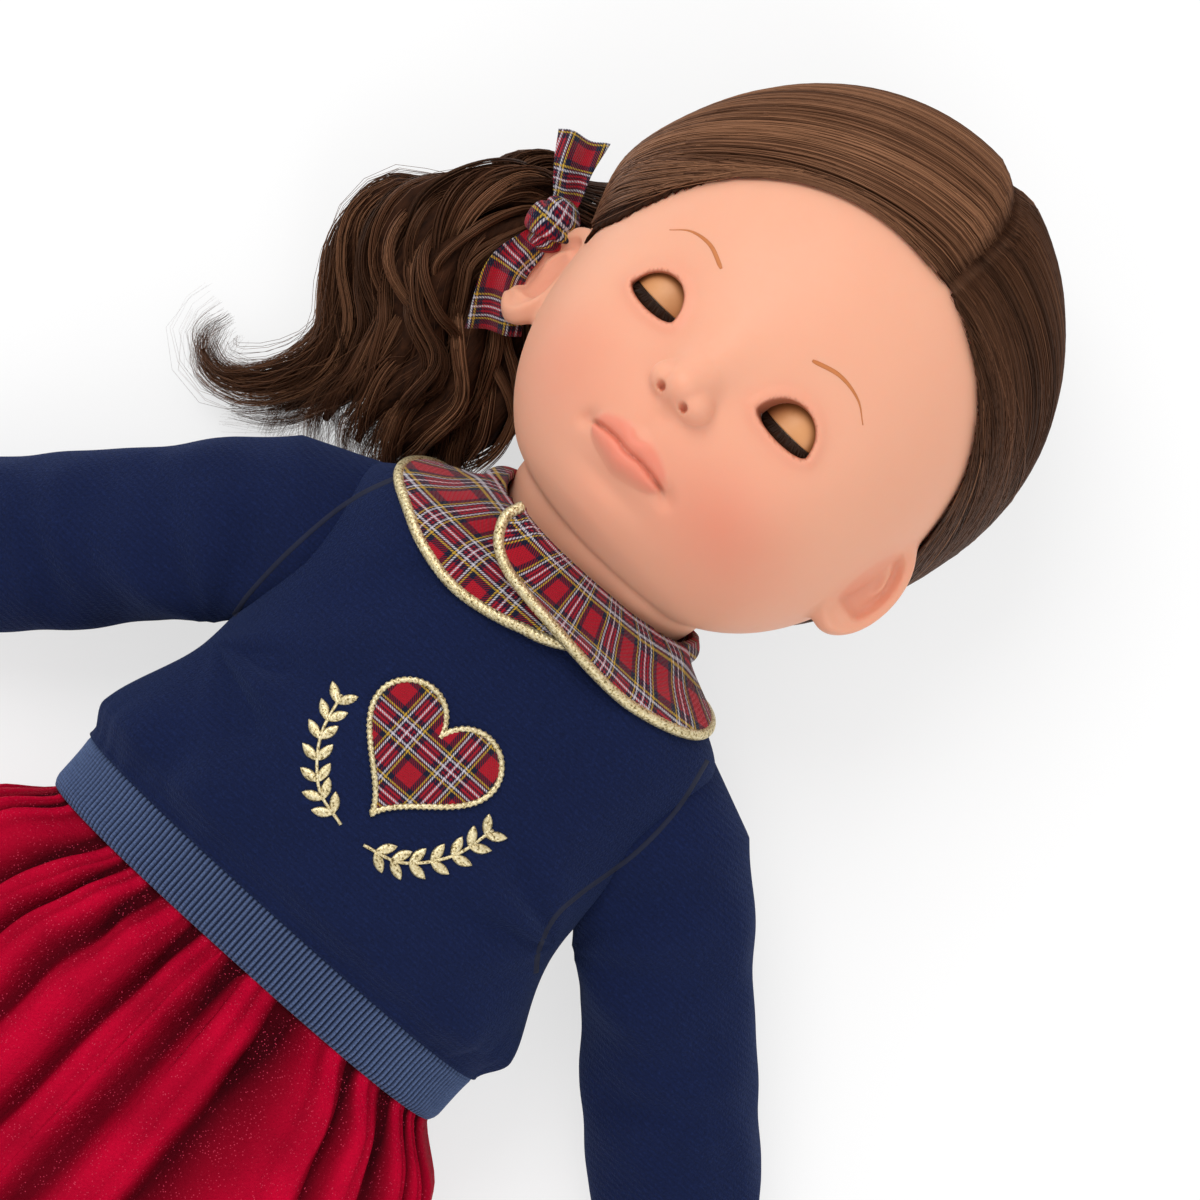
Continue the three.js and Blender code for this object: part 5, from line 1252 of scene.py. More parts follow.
def make_lock(number, thick, spine, size, t, source):
    """Strands in ringlets that wind about a lock's spine and end at different lengths."""
    ringlets = int(1.3 * thick) + 2
    _, across, over = frames(spine, LOCK_UP)
    first = (source.uniform(0, 2 * np.pi) + np.arange(ringlets) * 2 * np.pi / ringlets)[:, None]
    turns = source.uniform(0.7, 1.7, ringlets)
    angle = first + 2 * np.pi * turns[:, None] * t + 0.5 * np.sin(5 * t + first)
    reach = size * source.uniform(0.55, 0.95, ringlets)[:, None]
    axis = spine + across * (reach * np.cos(angle))[..., None] + over * (reach * np.sin(angle))[..., None]
    _, aside, above = frames(axis, np.broadcast_to(LOCK_UP, axis.shape))

    which = np.repeat(np.arange(ringlets), 34)
    count = len(which)
    spread = np.sqrt(source.uniform(0, 1, count))[:, None] * (1.5 + 0.9 * smooth((t - 0.55) / 0.45))
    spread = spread * (0.55 + 0.45 * smooth(t / 0.25)) * thick / 7
    turned = source.uniform(0, 2 * np.pi, count)[:, None] + 1.5 * t
    stray = source.normal(0, 0.5, count)[:, None] * smooth((t - 0.3) / 0.7)
    p = axis[which] + aside[which] * (spread * np.cos(turned) + stray)[..., None]
    p = on_floor(p + above[which] * (spread * np.sin(turned))[..., None], 0.3)

    last = len(t) - 1
    ends = t[None, :] * (1 - 0.3 * source.uniform(0, 1, count)[:, None] ** 1.6) * last
    before = np.minimum(ends.astype(int), last - 1)
    share = (ends - before)[..., None]
    row = np.arange(count)[:, None]
    p = p[row, before] * (1 - share) + p[row, before + 1] * share
    light = source.normal(0, 0.12, ringlets)[which] + LOCK_TONES[number % 4]
    tone = np.clip(0.4 + light + source.normal(0, 0.15, count), 0, 1)
    make_strands(f"lock_{number}", p, source.uniform(0.08, 0.14, count), tone, unit(p - spine[before]))


def make_root(tie, source):
    """Hair gathered from the side of the head over the elastic."""
    middle, _ = on_hair(np.array(ROOT_DOWN), np.array(ROOT_ROUND), np.array(0.0))
    middle = in_world(middle)
    along = unit(tie - middle)
    path = middle + along * np.linspace(-4, np.linalg.norm(tie - middle) + 3, 12)[:, None]
    half = np.linspace(9, 7, 12)
    points, faces = tube(sweep(path, half, half, 28, LOCK_UP))
    make("ponytail_root_core", points, faces, CAP, "head", "hair")

    count = 620
    out, turned = np.sqrt(source.uniform(0.25, 1, count)), source.uniform(0, 2 * np.pi, count)
    down, round_ = ROOT_DOWN + 17 * out * np.cos(turned), ROOT_ROUND + 19 * out * np.sin(turned)
    start, _ = on_hair(down, round_, np.full(count, 0.5))
    start = in_world(start)
    aside = start - middle
    aside = unit(aside - along * (aside @ along)[:, None])
    ring = aside * (11.2 + source.uniform(0, 0.9, count))[:, None]
    stops = [start, start * 0.5 + (tie - 9 * along + ring) * 0.5, tie + ring, tie + 9 * along + ring * 0.75]
    p = cubic(np.linspace(0, 1, 22)[None, :, None], *(stop[:, None] for stop in stops))
    clear = ear_field(*np.moveaxis(in_skull(p), -1, 0)).min(1) > 0.2
    p, aside = p[clear], aside[clear]
    tone = np.clip(source.normal(0.42, 0.18, len(p)), 0, 1)
    make_strands("ponytail_root", p, source.uniform(0.09, 0.15, len(p)), tone, aside[:, None])


def make_flyaways(tie, source):
    """Single hairs that stand off the locks."""
    count, steps = 150, 26
    t = np.linspace(0, 1, steps)
    paths = []
    for k in range(count):
        _, *stops = LOCKS[k % 7]
        spine = tie + curve(stops, steps)
        _, across, over = frames(spine, LOCK_UP)
        swing = source.uniform(-1, 1, 2) * 7.5
        wave = source.uniform(0.5, 1.5) * np.sin(t * source.uniform(5, 12) + source.uniform(0, 6))
        away = across * (swing[0] * t ** 0.7 + wave * t)[:, None] + over * (abs(swing[1]) * t ** 0.7)[:, None]
        paths.append(on_floor(spine + away, 0.4))
    make_strands("ponytail_flyaways", np.array(paths), 0.055, source.uniform(0.4, 0.9, count))


# Tartan bow: a knot and two tails

TAIL_THICK = 0.7


def tail(name, node, path, half):
    """A tail of the bow: a strip that widens from the knot, with a soft fold across it."""
    cols, t = np.linspace(-1, 1, 21)[None, :], np.linspace(0, 1, len(path))[:, None]
    _, across, over = frames(path, UP)
    fold = 1.2 * np.cos(cols * 4.2 + 2.0 * t) * (0.35 + 0.65 * t)
    wide = half[:, None] * cols
    middle = path[:, None] + across[:, None] * wide[..., None] + over[:, None] * fold[..., None]
    thick = over[:, None] * TAIL_THICK / 2
    points, faces = shell(middle + thick, middle - thick, False)
    run = lengths_along(path)
    uv = np.stack(np.broadcast_arrays(wide, run[:, None]), -1).reshape(-1, 2)
    piece = make(name, points, faces, TARTAN, "head", "tartan", node, uv=twice(uv))


def make_bow():
    """The knot, with two dents where the cloth wraps it, and the two tails."""
    middle, half = box_of("bow_knot")
    v, a = np.linspace(0.02, np.pi - 0.02, 40)[:, None], circle(64)[None, :]
    way = np.stack([np.sin(v) * np.cos(a), np.cos(v) + 0 * a, np.sin(v) * np.sin(a)], -1)
    first, second = 1.1 + 0.45 * np.sin(a + 0.2), 2.15 + 0.4 * np.sin(a - 0.9)
    wrap = 1.04 - 0.24 * bell((v - first) / 0.15) - 0.2 * bell((v - second) / 0.15)
    points, faces = tube(middle + way * (half + 0.3) * wrap[..., None])
    uv = np.stack(np.broadcast_arrays(3.6 * a + 2 * np.sin(v), v * 4.2 + 3), -1).reshape(-1, 2)
    uv = np.concatenate([uv, uv[:1], uv[-1:]])
    knot = make("bow_knot_cloth", points, faces, TARTAN, "head", "tartan", "bow_knot", uv=uv)
    t = np.linspace(0, 1, 30)
    upper = middle + curve([(0, 3.0, 0.5), (-1.5, 6.3, 0), (-4.5, 11.5, 1.5), (-7.0, 17.5, 0)], len(t))
    lower = middle + curve([(0, -3, 0), (-0.3, -6.3, 0.6), (-0.3, -14, 0.6), (5.5, -24, -3)], len(t))
    tail("bow_tail_top", "bow_tail_upper", upper, 2.2 + 3.3 * t ** 1.3)
    tail("bow_tail_flap", "bow_tail_lower", lower, 2.4 + 3.4 * t ** 1.2)


# Trunk: the form under the shirt

HIP = np.array([26, -70, 29.0])
half_width_at = profile([
    (-50, 51.5), (-37, 52), (-30, 55), (-8, 47.6), (17.5, 47.6), (37, 47.6), (43, 45.6), (48.5, 36.3),
    (54, 25),
])
front_at = profile([
    (-50, 57), (-37, 59), (-30, 64), (-8, 63), (17.5, 61), (37, 59), (43, 57), (48.5, 56.5), (54, 56),
])
back_at = profile([(-50, 1.5), (-37, 0.4), (-30, -4), (17.5, -4), (37, 1), (43, 5), (48.5, 10.5), (54, 16)])


def bulge(v):
    """A sine or cosine made fuller, so that an oval is a little boxy."""
    return np.sign(v) * np.abs(v) ** 0.8


def form(y, a, inset=0.0):
    """Points of the trunk's outside: height y and angle a from the front toward the doll's left."""
    y, a, inset = np.broadcast_arrays(*(np.asarray(v, float) for v in (y, a, inset)))
    front, back = front_at(y) - inset, back_at(y) + inset
    x = (half_width_at(y) - inset) * bulge(np.sin(a))
    z = (front + back) / 2 + (front - back) / 2 * bulge(np.cos(a))
    return np.stack([x, y, np.maximum(z, np.maximum(inset, 0))], -1)


def even_angles(y, count):
    """Angles that space points evenly round the form."""
    a = np.linspace(0, 2 * np.pi, 2000)
    run = lengths_along(form(np.full(a.shape, y), a))
    return np.interp(np.linspace(0, run[-1], count, endpoint=False), run, a)


def shirt_out(p, a, y):
    """Folds of the sweatshirt, outward from its form: broad ones, gathers at the hem, fans at the armpits."""
    q = p * np.array([1.0, 0.8, 1.0])
    out = 1.1 * waves(q, 42, 3) + 0.42 * waves(q, 17, 4)
    near_hem = bell((y + 31) / 9)
    broad = np.sin(9 * a + 1.7 * np.sin(2 * a)) + 0.7 * np.sin(14 * a + 1.1 + 1.3 * np.sin(3 * a))
    gathers = np.sin(31 * a + 2.2 * np.sin(5 * a)) * np.exp(-(y + 37) / 5)
    arm = np.abs(np.sin(a)) ** 6
    for sign in (1, -1):
        dx, dy = p[..., 0] - sign * 46, p[..., 1] + 6
        angle = np.arctan2(dy, -sign * dx)
        far = np.hypot(dx, dy)
        fan = np.cos(angle * 7) * bell((far - 14) / 12) * bell(angle / 0.9)
        out = out + np.where(p[..., 2] > 20, 1.7 * fan, 0)
    return (out * (1 - 0.5 * arm) + 0.9 * broad * near_hem + 0.5 * gathers) * smooth((54 - y) / 6)


SHIRT_LOW, SHIRT_HIGH = -37.6, 52.4


def make_shirt():
    """The sweatshirt's body, whose lower edge lies over the rib."""
    y, a = np.meshgrid(np.linspace(SHIRT_LOW, SHIRT_HIGH, 120), even_angles(0, 230), indexing="ij")
    out = np.maximum(shirt_out(form(y, a), a, y) + 0.4, 1.0 - 0.3 * (y - SHIRT_LOW))
    points, faces = shell(form(y, a, -out), form(y, a, 1.7))
    shirt = make("sweatshirt", points, faces, FLEECE, "trunk", "navy_fleece", "sweatshirt_body")
    return shirt


def ribbed(name, node, rings_at, count, body, length, depth=0.42):
    """A tube of knit with ribs along it: rings_at gives points by share along, share round and move out."""
    s = np.linspace(0, 1, count * 6, endpoint=False)[None, :]
    t = np.linspace(0, 1, 14)[:, None]
    rib = np.cos(2 * np.pi * count * s)
    swell = depth * np.sign(rib) * np.abs(rib) ** 0.7
    edge = smooth(t / 0.12) * smooth((1 - t) / 0.12)
    outer = rings_at(t, s, swell * (0.35 + 0.65 * edge) + 0.5 * edge - 0.3)
    points, faces = shell(outer, rings_at(t, s, -1.3 + 0 * swell))
    # How far down between ribs each point lies, for the painted shade there.
    valley = np.broadcast_to(smooth(0.35 - 0.65 * rib), outer.shape[:2]).ravel()
    uv = np.stack(np.broadcast_arrays(s * count, t * length), -1).reshape(-1, 2)
    piece = make(name, points, faces, RIB, body, "navy_rib", node, uv=twice(uv), valley=twice(valley))


def make_hem():
    """The rib at the waist."""
    count, high, length = 960, -36.9, 13.1
    angles = even_angles(-43, count)

    def rings_at(t, s, out):
        y = high - length * t
        a = np.interp(s, np.linspace(0, 1, count, endpoint=False), angles)
        return form(y + 0 * a, a + 0 * y, -out)

    ribbed("waist_rib", "sweatshirt_waist_rib", rings_at, 236, "trunk", length, 0.34)


TRUNK_INSET = 4.5
CROTCH_HALF, CROTCH_RADIUS = 7.8, 18.2


def trunk_field(x, y, z):
    """The stuffed body inside the clothes, down to the round between the legs, with a seam in front."""
    width, front = half_width_at(y) - TRUNK_INSET, front_at(y) - TRUNK_INSET
    back = np.maximum(back_at(y) + TRUNK_INSET, 3)
    middle, deep = (front + back) / 2, (front - back) / 2
    girth = (np.abs(x / width) ** 2.5 + np.abs((z - middle) / deep) ** 2.5) ** 0.4
    body = np.maximum((girth - 1) * np.minimum(width, deep), np.maximum(-50 - y, y - 47))
    side = np.abs(x) - CROTCH_HALF
    crotch = np.maximum(np.hypot(y - HIP[1], z - HIP[2]) - CROTCH_RADIUS, side)
    bridge = np.maximum(np.abs(z - HIP[2]) - CROTCH_RADIUS, np.maximum(y + 50, HIP[1] - y))
    bridge = np.maximum(side, bridge)
    return joined(joined(body, crotch, 1.0), bridge, 1.0) + 0.9 * bell(x / 0.8)


def make_trunk():
    points, faces = iso(trunk_field, (-56, -92, -4), (56, 52, 66), 1.2)
    body = make("trunk_cloth", points, faces, BODY_CLOTH, "trunk", "cloth_body", "cloth_trunk")


# Collar, its piping and the motif on the chest

NECKLINE, NECKLINE_RISE = 53.8, 7.5
COLLAR_THICK, COLLAR_AREA = 1.4, 0.0023
COLLAR_NECK = 22.5


def collar_base(y, a):
    """Where the collar's underside runs: on the shirt, and above it in to the neck."""
    low = form(np.minimum(y, NECKLINE), a)
    rise = smooth((y - NECKLINE) / NECKLINE_RISE)[..., None]
    neck = np.stack([1.5 + COLLAR_NECK * np.sin(a), y, 37 + COLLAR_NECK * np.cos(a)], -1)
    p = low * (1 - rise) + neck * rise
    p[..., 1] = y
    return p


def collar_out(y, a):
    """The direction straight out of the collar's underside."""
    da = collar_base(y, a + 1e-3) - collar_base(y, a - 1e-3)
    dy = collar_base(y + 0.05, a) - collar_base(y - 0.05, a)
    out = unit(np.cross(da, dy))
    middle = np.array([0, 30, 30.0])
    return out * np.sign((out * (collar_base(y, a) - middle)).sum(-1))[..., None]


# The free edge of each collar half, from its front to the back: degrees round the neck, and height
COLLAR_EDGES = {
    "left": [(-30, 53.2), (-25, 50), (-14, 45.5), (-2, 41.4), (10, 39.6), (26, 40.4), (50, 43.6), (86, 48),
             (130, 49.5), (168, 50), (176, 57.5)],
    "right": [(16, 53.2), (13, 48), (7, 42), (1, 38.4), (-7, 35.8), (-17, 35), (-31, 37.4), (-48, 41.6),
              (-88, 48.4), (-130, 49.5), (-168, 50), (-176, 57.5)],
}
collar_top = profile([(0, 53.6), (38, 53.8), (60, 55.8), (82, 58.2), (105, 59.5), (180, 59.5)])


def make_collar(side, sign):
    """One half of the collar, rolled over at the neckline, and the cord along its free edge."""
    a, edge = curve([(a, y, 0) for a, y in COLLAR_EDGES[side]], 190)[:, :2].T
    a = np.radians(a)
    u = np.linspace(0, 1, 30)[:, None]
    top_edge = collar_top(np.degrees(np.abs(a)))[None, :]
    y = top_edge + (np.minimum(edge[None, :], top_edge - 0.4) - top_edge) * u
    aa = np.broadcast_to(a, y.shape)
    out = collar_out(y, aa)
    lift = 3.4 * smooth((math.radians(26) - a) / math.radians(20)) if sign > 0 else 0 * a
    roll = 0.5 + lift[None, :] * (0.4 + 0.6 * u) + 1.7 * bell((u - 0.25) / 0.22) + 0.6 * u ** 2
    under = collar_base(y, aa) + out * roll[..., None]
    points, faces = shell(under + out * COLLAR_THICK, under, False)
    run = lengths_along(under[-1])
    uv = np.stack(np.broadcast_arrays(run[None, :], y), -1).reshape(-1, 2)
    name, node = f"collar_cloth_{side}", f"collar_{side}"
    half = make(name, points, faces, TARTAN, "trunk", "tartan", node, uv=twice(uv))
    make_cord(side, sign, under[-1], out[-1], run)


def make_cord(side, sign, rim, away, run):
    """A braided cord along a half's free edge."""
    even = np.linspace(0, run[-1], int(run[-1] / 0.17))
    path = at_lengths(rim, run, even)
    over = unit(at_lengths(away, run, even))
    aside = np.cross(unit(np.gradient(path, axis=0)), over)
    path = path + over * 0.7 + sign * aside * 0.5
    a, twist = circle(22)[None, :], even[:, None] * 6.2
    braid = np.maximum(np.sin(twist + 4 * a), np.sin(twist - 4 * a))
    radius = 1.15 + 0.06 * braid
    points, faces = tube(path[:, None] + radius[..., None] * round_ways(a, aside, over))
    make(f"collar_cord_{side}", points, faces, GOLD, "trunk", "gold_piping", f"collar_piping_{side}")


ABOVE_CHEST = 90.0


def on_chest(tree, flat):
    """Points of the shirt under points of the plan, and its normals there."""
    places = np.concatenate([flat, np.full(flat.shape[:-1] + (1,), ABOVE_CHEST)], -1)
    return drop_on(tree, places, DOWN)


def make_motif(shirt):
    """A tartan heart with a corded edge and small sprigs round it."""
    tree = tree_of(shirt)
    middle = np.array([1.0, 6.0])
    a = circle(120)
    tall = 13 * np.cos(a) - 5 * np.cos(2 * a) - 2 * np.cos(3 * a) - np.cos(4 * a)
    heart = np.stack([16 * np.sin(a) ** 3, tall], -1) * 0.92
    share = np.linspace(0.03, 1, 26)[:, None, None]
    flat = middle + heart[None] * share + np.array([0, -1.5]) * (1 - share)
    lift = 0.25 + 0.75 * np.sqrt(np.maximum(1 - share ** 6, 0))
    hits, normals = on_chest(tree, flat)
    points, faces = patch(hits + normals * lift, hits - normals * 0.3)
    uv = flat.reshape(-1, 2)
    uv = twice(np.concatenate([uv, uv[:1]]))
    make("chest_heart", points, faces, TARTAN, "trunk", "tartan", uv=uv)
    edge = hits[-1] + normals[-1] * 0.5
    loop = np.concatenate([edge, edge[:1]])
    run = lengths_along(loop)
    even = np.linspace(0, run[-1], 400)
    rings = sweep(at_lengths(loop, run, even), 0.62 + 0.12 * np.sin(even * 5.5), 0.55, 8)
    make("chest_cord", rings, [net(400, 8)], GOLD, "trunk", "gold_piping")
    make_sprigs(tree, middle)


STEM = [(3, -21), (11, -18.5), (17.5, -11), (20, -2)]


def make_sprigs(tree, middle):
    """Two stems with leaves that curve up on both sides of the heart."""
    points, quads, caps = [], [], []

    def add(flat, across, over):
        hits, normals = on_chest(tree, flat)
        made, (sides, ends) = tube(sweep(hits + normals * 0.25, across, over, 8))
        first = sum(len(p) for p in points)
        points.append(made)
        quads.append(sides + first)
        caps.append(ends + first)

    t = np.linspace(0, 1, 9)
    for sign in (1, -1):
        stem = curve([(sign * x, y, 0) for x, y in STEM], 30)[:, :2]
        add(middle + stem, 0.36, 0.3)
        for k in range(3, 30, 4):
            way = unit(stem[min(k + 1, 29)] - stem[k - 1])
            for turned in (1, -1):
                c, s = math.cos(turned * 0.75), math.sin(turned * 0.75)
                out = np.array([c * way[0] - s * way[1], s * way[0] + c * way[1]])
                leaf = middle + stem[k] + out * (4.4 * t)[:, None]
                add(leaf, 0.1 + 0.95 * np.sin(np.pi * t) ** 0.8, 0.3)
    faces = [np.concatenate(quads), np.concatenate(caps)]
    make("chest_sprigs", np.concatenate(points), faces, GOLD, "trunk", "gold_piping")


def patch(top, under):
    """A closed disc-like sheet from rings of points that shrink to a middle."""
    rows, cols = top.shape[:2]
    size = rows * cols + 1
    sides = [np.concatenate([p.reshape(-1, 3), p[0].mean(0)[None]]) for p in (top, under)]
    points = np.concatenate(sides)
    faces = net(rows, cols)
    c = np.arange(cols)
    after = (c + 1) % cols
    last = (rows - 1) * cols
    cap = np.stack([np.full(cols, rows * cols), after, c], -1)
    rim = np.stack([last + c, last + after, last + after + size, last + c + size], -1)
    quads = np.concatenate([faces, faces[:, ::-1] + size, rim])
    return points, [quads, np.concatenate([cap, cap[:, ::-1] + size])]


# Skirt: gathered tulle over a satin lining, in two halves that meet at seams in front and behind

WAIST_Y, SKIRT_FALL = -50.0, 68.0
HEM_FRONT, HEM_BACK, HEM_HALF = 66.0, -8.0, 76.0


def skirt_ring(y, a, inset, folds, depth, floor):
    """A ring of the skirt, flaring from the waist, and how deep in a fold each of its points lies."""
    fall = np.clip((WAIST_Y - y) / SKIRT_FALL, 0, 1)
    flare = np.sin(fall * np.pi / 2)
    puff = 3.4 * smooth(fall / 0.14) * (1 - 0.6 * smooth((fall - 0.2) / 0.6))
    front = front_at(y) + (HEM_FRONT - front_at(y)) * flare - inset + puff
    back = back_at(y) + (HEM_BACK - back_at(y)) * flare + inset
    width = half_width_at(y) + (HEM_HALF - half_width_at(y)) * flare - inset + puff
    x = width * bulge(np.sin(a))
    z = (front + back) / 2 + (front - back) / 2 * bulge(np.cos(a))
    out = unit(np.stack([x, 0 * x, z - (front + back) / 2], -1))
    phase = folds * a + 2.4 * np.sin(2 * a + 0.4) + 1.9 * np.sin(5 * a + 1.1) + 1.1 * np.sin(11 * a)
    phase = phase + 0.9 * fall * np.sin(7 * a + 0.6)
    big = ((1 - np.cos(phase)) / 2) ** 3
    small = ((1 - np.cos(2.3 * phase + 1.9 * np.sin(3 * a))) / 2) ** 3
    gathered = np.exp(-fall / 0.16)
    valley = big * (0.6 + 0.4 * gathered) + 0.35 * small * (0.25 + 0.75 * gathered)
    swing = depth * (0.12 + 0.88 * smooth(5 * fall)) * (0.8 - 2 * valley)
    p = np.stack([x, y + 0 * x, z], -1)
    swing = swing + smooth(4 * fall) * (0.9 * waves(p, 24, 31) + 0.5 * waves(p, 11, 32))
    return on_floor(p + out * swing[..., None], floor), valley


# Each layer: its paint, slot, hem, inset, number and depth of folds, height off the floor and flat size
SKIRT_LAYERS = {
    "tulle": (TULLE, "red_tulle", -118, 1.2, 25, 2.9, 0.3, (0.205, 0.072)),
    "lining": (SATIN, "red_satin", -112, 6.2, 18, 1.0, 1.7, (0.19, 0.066)),
}
SKIRT_TOP, SKIRT_THICK = -46.5, 0.6
SKIRT_LAP, SIDE_SHIFT = 0.04, 0.1


def make_skirt_half(layer, side, sign):
    """Half of a layer. The halves overlap a little, and one lies 0.2 mm inside the other."""
    paint, slot, hem, inset, folds, depth, floor, flat = SKIRT_LAYERS[layer]
    a0 = 0.0 if sign > 0 else np.pi
    angles = np.linspace(a0 - SKIRT_LAP, a0 + np.pi + SKIRT_LAP, 260)
    y, a = np.meshgrid(np.linspace(SKIRT_TOP, hem, 46), angles, indexing="ij")
    if layer == "tulle":
        y = y + 0.3 * np.sin(a * 61) * smooth((-110 - y) / 8)
    inset, floor = inset - SIDE_SHIFT * sign, floor - SIDE_SHIFT * sign
    outer, valley = skirt_ring(y, a, inset, folds, depth, floor)
    inner, _ = skirt_ring(y, a, inset + SKIRT_THICK, folds, depth, floor + SKIRT_THICK)
    points, faces = shell(outer, inner, False)
    # How deep in a fold each point lies, for the tulle's painted shade.
    valley = twice(np.clip(valley, 0, 1).ravel())
    node = f"skirt_{layer}" if sign > 0 else None
    piece = make(f"skirt_{layer}_{side}", points, faces, paint, "trunk", slot, node, valley=valley)
    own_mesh(piece)


def make_skirt():
    for side, sign in SIDES.items():
        for layer in SKIRT_LAYERS:
            make_skirt_half(layer, side, sign)
    y, a = np.meshgrid(np.linspace(-45.6, -37.2, 8), even_angles(-41, 200), indexing="ij")
    pucker = 0.25 * np.sin(a * 60)
    points, faces = shell(form(y, a, 2.3 - pucker), form(y, a, 3.9))
    make("waist_band", points, faces, SATIN, "trunk", "red_satin", "skirt_waistband")


# Arms: hand and arm, sleeve and cuff

SHOULDER = np.array([48, 23.0, 30.0])


def arm_point(length):
    """The left arm's axis by length from the shoulder, down and out to the hand."""
    length = np.asarray(length, float)
    return SHOULDER + np.stack([0.7071 * length, -0.7071 * length, -16 * smooth(length / 100)], -1)


arm_radius = profile([(-10, 6), (12, 7.5), (40, 11.6), (60, 10.9), (89, 8.5), (100, 8.5)])
sleeve_wide = profile([(0, 19), (0.3, 18), (0.8, 18), (1, 13.3)])
sleeve_high = profile([(0, 17), (0.4, 15), (0.8, 13.5), (1, 13.3)])


ARM_END = 100.0
FINGER_REACH = (0.8, 1, 0.95, 0.75)


def arm_field(x, y, z):
    """The arm and hand of the left side: palm, four fingers and thumb."""
    stops = np.linspace(-10, ARM_END, 45)
    field = chain(x, y, z, arm_point(stops), arm_radius(stops))
    start = arm_point(ARM_END)
    along = unit(start - arm_point(90.0))
    across = unit(np.array([-along[1], along[0], 0]))
    over = np.cross(along, across) * np.sign(np.cross(along, across)[2])

    def spot(forward, aside, up):
        return start + along * forward + across * aside + over * up

    px, py, pz = x - start[0], y - start[1], z - start[2]
    in_hand = (px * way[0] + py * way[1] + pz * way[2] for way in (along, across, over))
    palm = egg(*in_hand, (8.5, 0, -0.3), (11.5, 9.4, 5.6))
    field = joined(field, palm, 4)
    for i, reach in enumerate(FINGER_REACH):
        aside, tip = (1.5 - i) * 4.5, 17 + 11 * reach
        middle = spot((12 + tip) / 2, aside, 0.2)
        path = np.array([spot(12, aside * 0.92, 0.3), middle, spot(tip, aside * 1.05, -3)])
        field = joined(field, chain(x, y, z, path, (2.7, 2.65, 2.35), 0.6), 0.8)
    thumb = np.array([spot(4, 5.5, 0), spot(10, 10.5, 0.3), spot(15, 13, -1)])
    return joined(field, chain(x, y, z, thumb, (3.0, 2.8, 2.5), 0.8), 1.6)


def mirror(points, sign):
    """The left side's points as they are, or for the right side."""
    return points * np.array([sign, 1, 1])


SLEEVE_START, SLEEVE_END, SLEEVE_THICK = -26, 90.5, 1.8
ARMPIT = np.array([50.0, -5.0])
ELBOW = 46


def sleeve_shape():
    """The left sleeve round the arm, with folds at the armpit, the elbow and the cuff."""
    length = np.linspace(SLEEVE_START, SLEEVE_END, 90)
    a = circle(96)
    path = arm_point(length)
    _, across, over = frames(path, UP)
    share, within = np.maximum(length, 0) / 89, np.minimum(length, 0)
    wide, high = sleeve_wide(share) + 0.4 * within, sleeve_high(share) + 0.3 * within
    at = path[:, None] + round_ways(a, across, over, wide[:, None], high[:, None])
    out_way = round_ways(a, across, over)
    length = length[:, None]
    folds = 0.75 * waves(at, 30, 8) + 0.25 * waves(at, 12, 9)
    from_pit = at[..., :2] - ARMPIT
    far = np.linalg.norm(from_pit, axis=-1)
    fan = np.cos(6 * np.arctan2(from_pit[..., 1], from_pit[..., 0]) + 0.8) * bell((far - 17) / 12)
    folds = folds + 1.2 * fan * smooth((at[..., 2] - 18) / 12)
    bend = length * 0.42 + 1.5 * np.sin(a) + 1.6 * waves(at, 22, 10)
    elbow = 0.5 * np.sin(bend) * bell((length - ELBOW) / 20) * np.maximum(np.sin(a), -0.2)
    at_cuff = 0.8 * np.sin(20 * a + np.sin(3 * a)) * bell((length - 90) / 9)
    out = (folds + elbow) * smooth((length - 2) / 12) + at_cuff
    return shell(on_floor(at + out_way * out[..., None], 0.2), at - out_way * SLEEVE_THICK)


def make_cuff(side, sign):
    """The rib at a sleeve's end."""
    start, length, narrow, swell = 89.4, 10.8, 11.3, 1.4

    def rings_at(t, s, out):
        path = arm_point(start + length * t[:, 0])
        _, across, over = frames(path, UP)
        radius = narrow + swell * np.sin(np.pi * t) + out
        return mirror(path[:, None] + radius[..., None] * round_ways(2 * np.pi * s, across, over), sign)

    ribbed(f"cuff_rib_{side}", f"sleeve_cuff_{side}", rings_at, 44, f"arm_{side}", length)


def make_arms():
    """Arms, sleeves and cuffs; returns the sleeves by side."""
    sleeves = {}
    arm, arm_faces = smooth_iso(arm_field, (30, -112, -8), (152, 44, 48), 0.8)
    wrist, hand = (np.linalg.norm(arm - arm_point(at), axis=1) for at in (98.0, 112.0))
    blush_and_shade = 0.25 * smooth((hand - 12) / 8) * smooth((wrist - 12) / 8)
    skin = skin_values(len(arm), blush_and_shade)
    sleeve, sleeve_faces = sleeve_shape()
    for side, sign in SIDES.items():
        body = f"arm_{side}"
        make(f"arm_skin_{side}", mirror(arm, sign), arm_faces, SKIN, body, "vinyl_skin", body, **skin)
        points, name, node = mirror(sleeve, sign), f"sleeve_cloth_{side}", f"sleeve_{side}"
        cloth = make(name, points, sleeve_faces, FLEECE, None, "navy_fleece", node)
        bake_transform(cloth)
        sleeves[side] = cloth
        make_cuff(side, sign)
    return sleeves


# Armhole seams over the join of shirt and sleeve: where each passes, from the shoulder to the armpit

ARMHOLES = {
    "left": [(44, 42.5), (46, 31), (45.5, 18), (42.8, 6), (42, -1), (44, -8), (47, -12.5)],
    "right": [(-40, 44), (-44.5, 33), (-46.5, 19), (-47.2, 7), (-46.8, 0)],
}


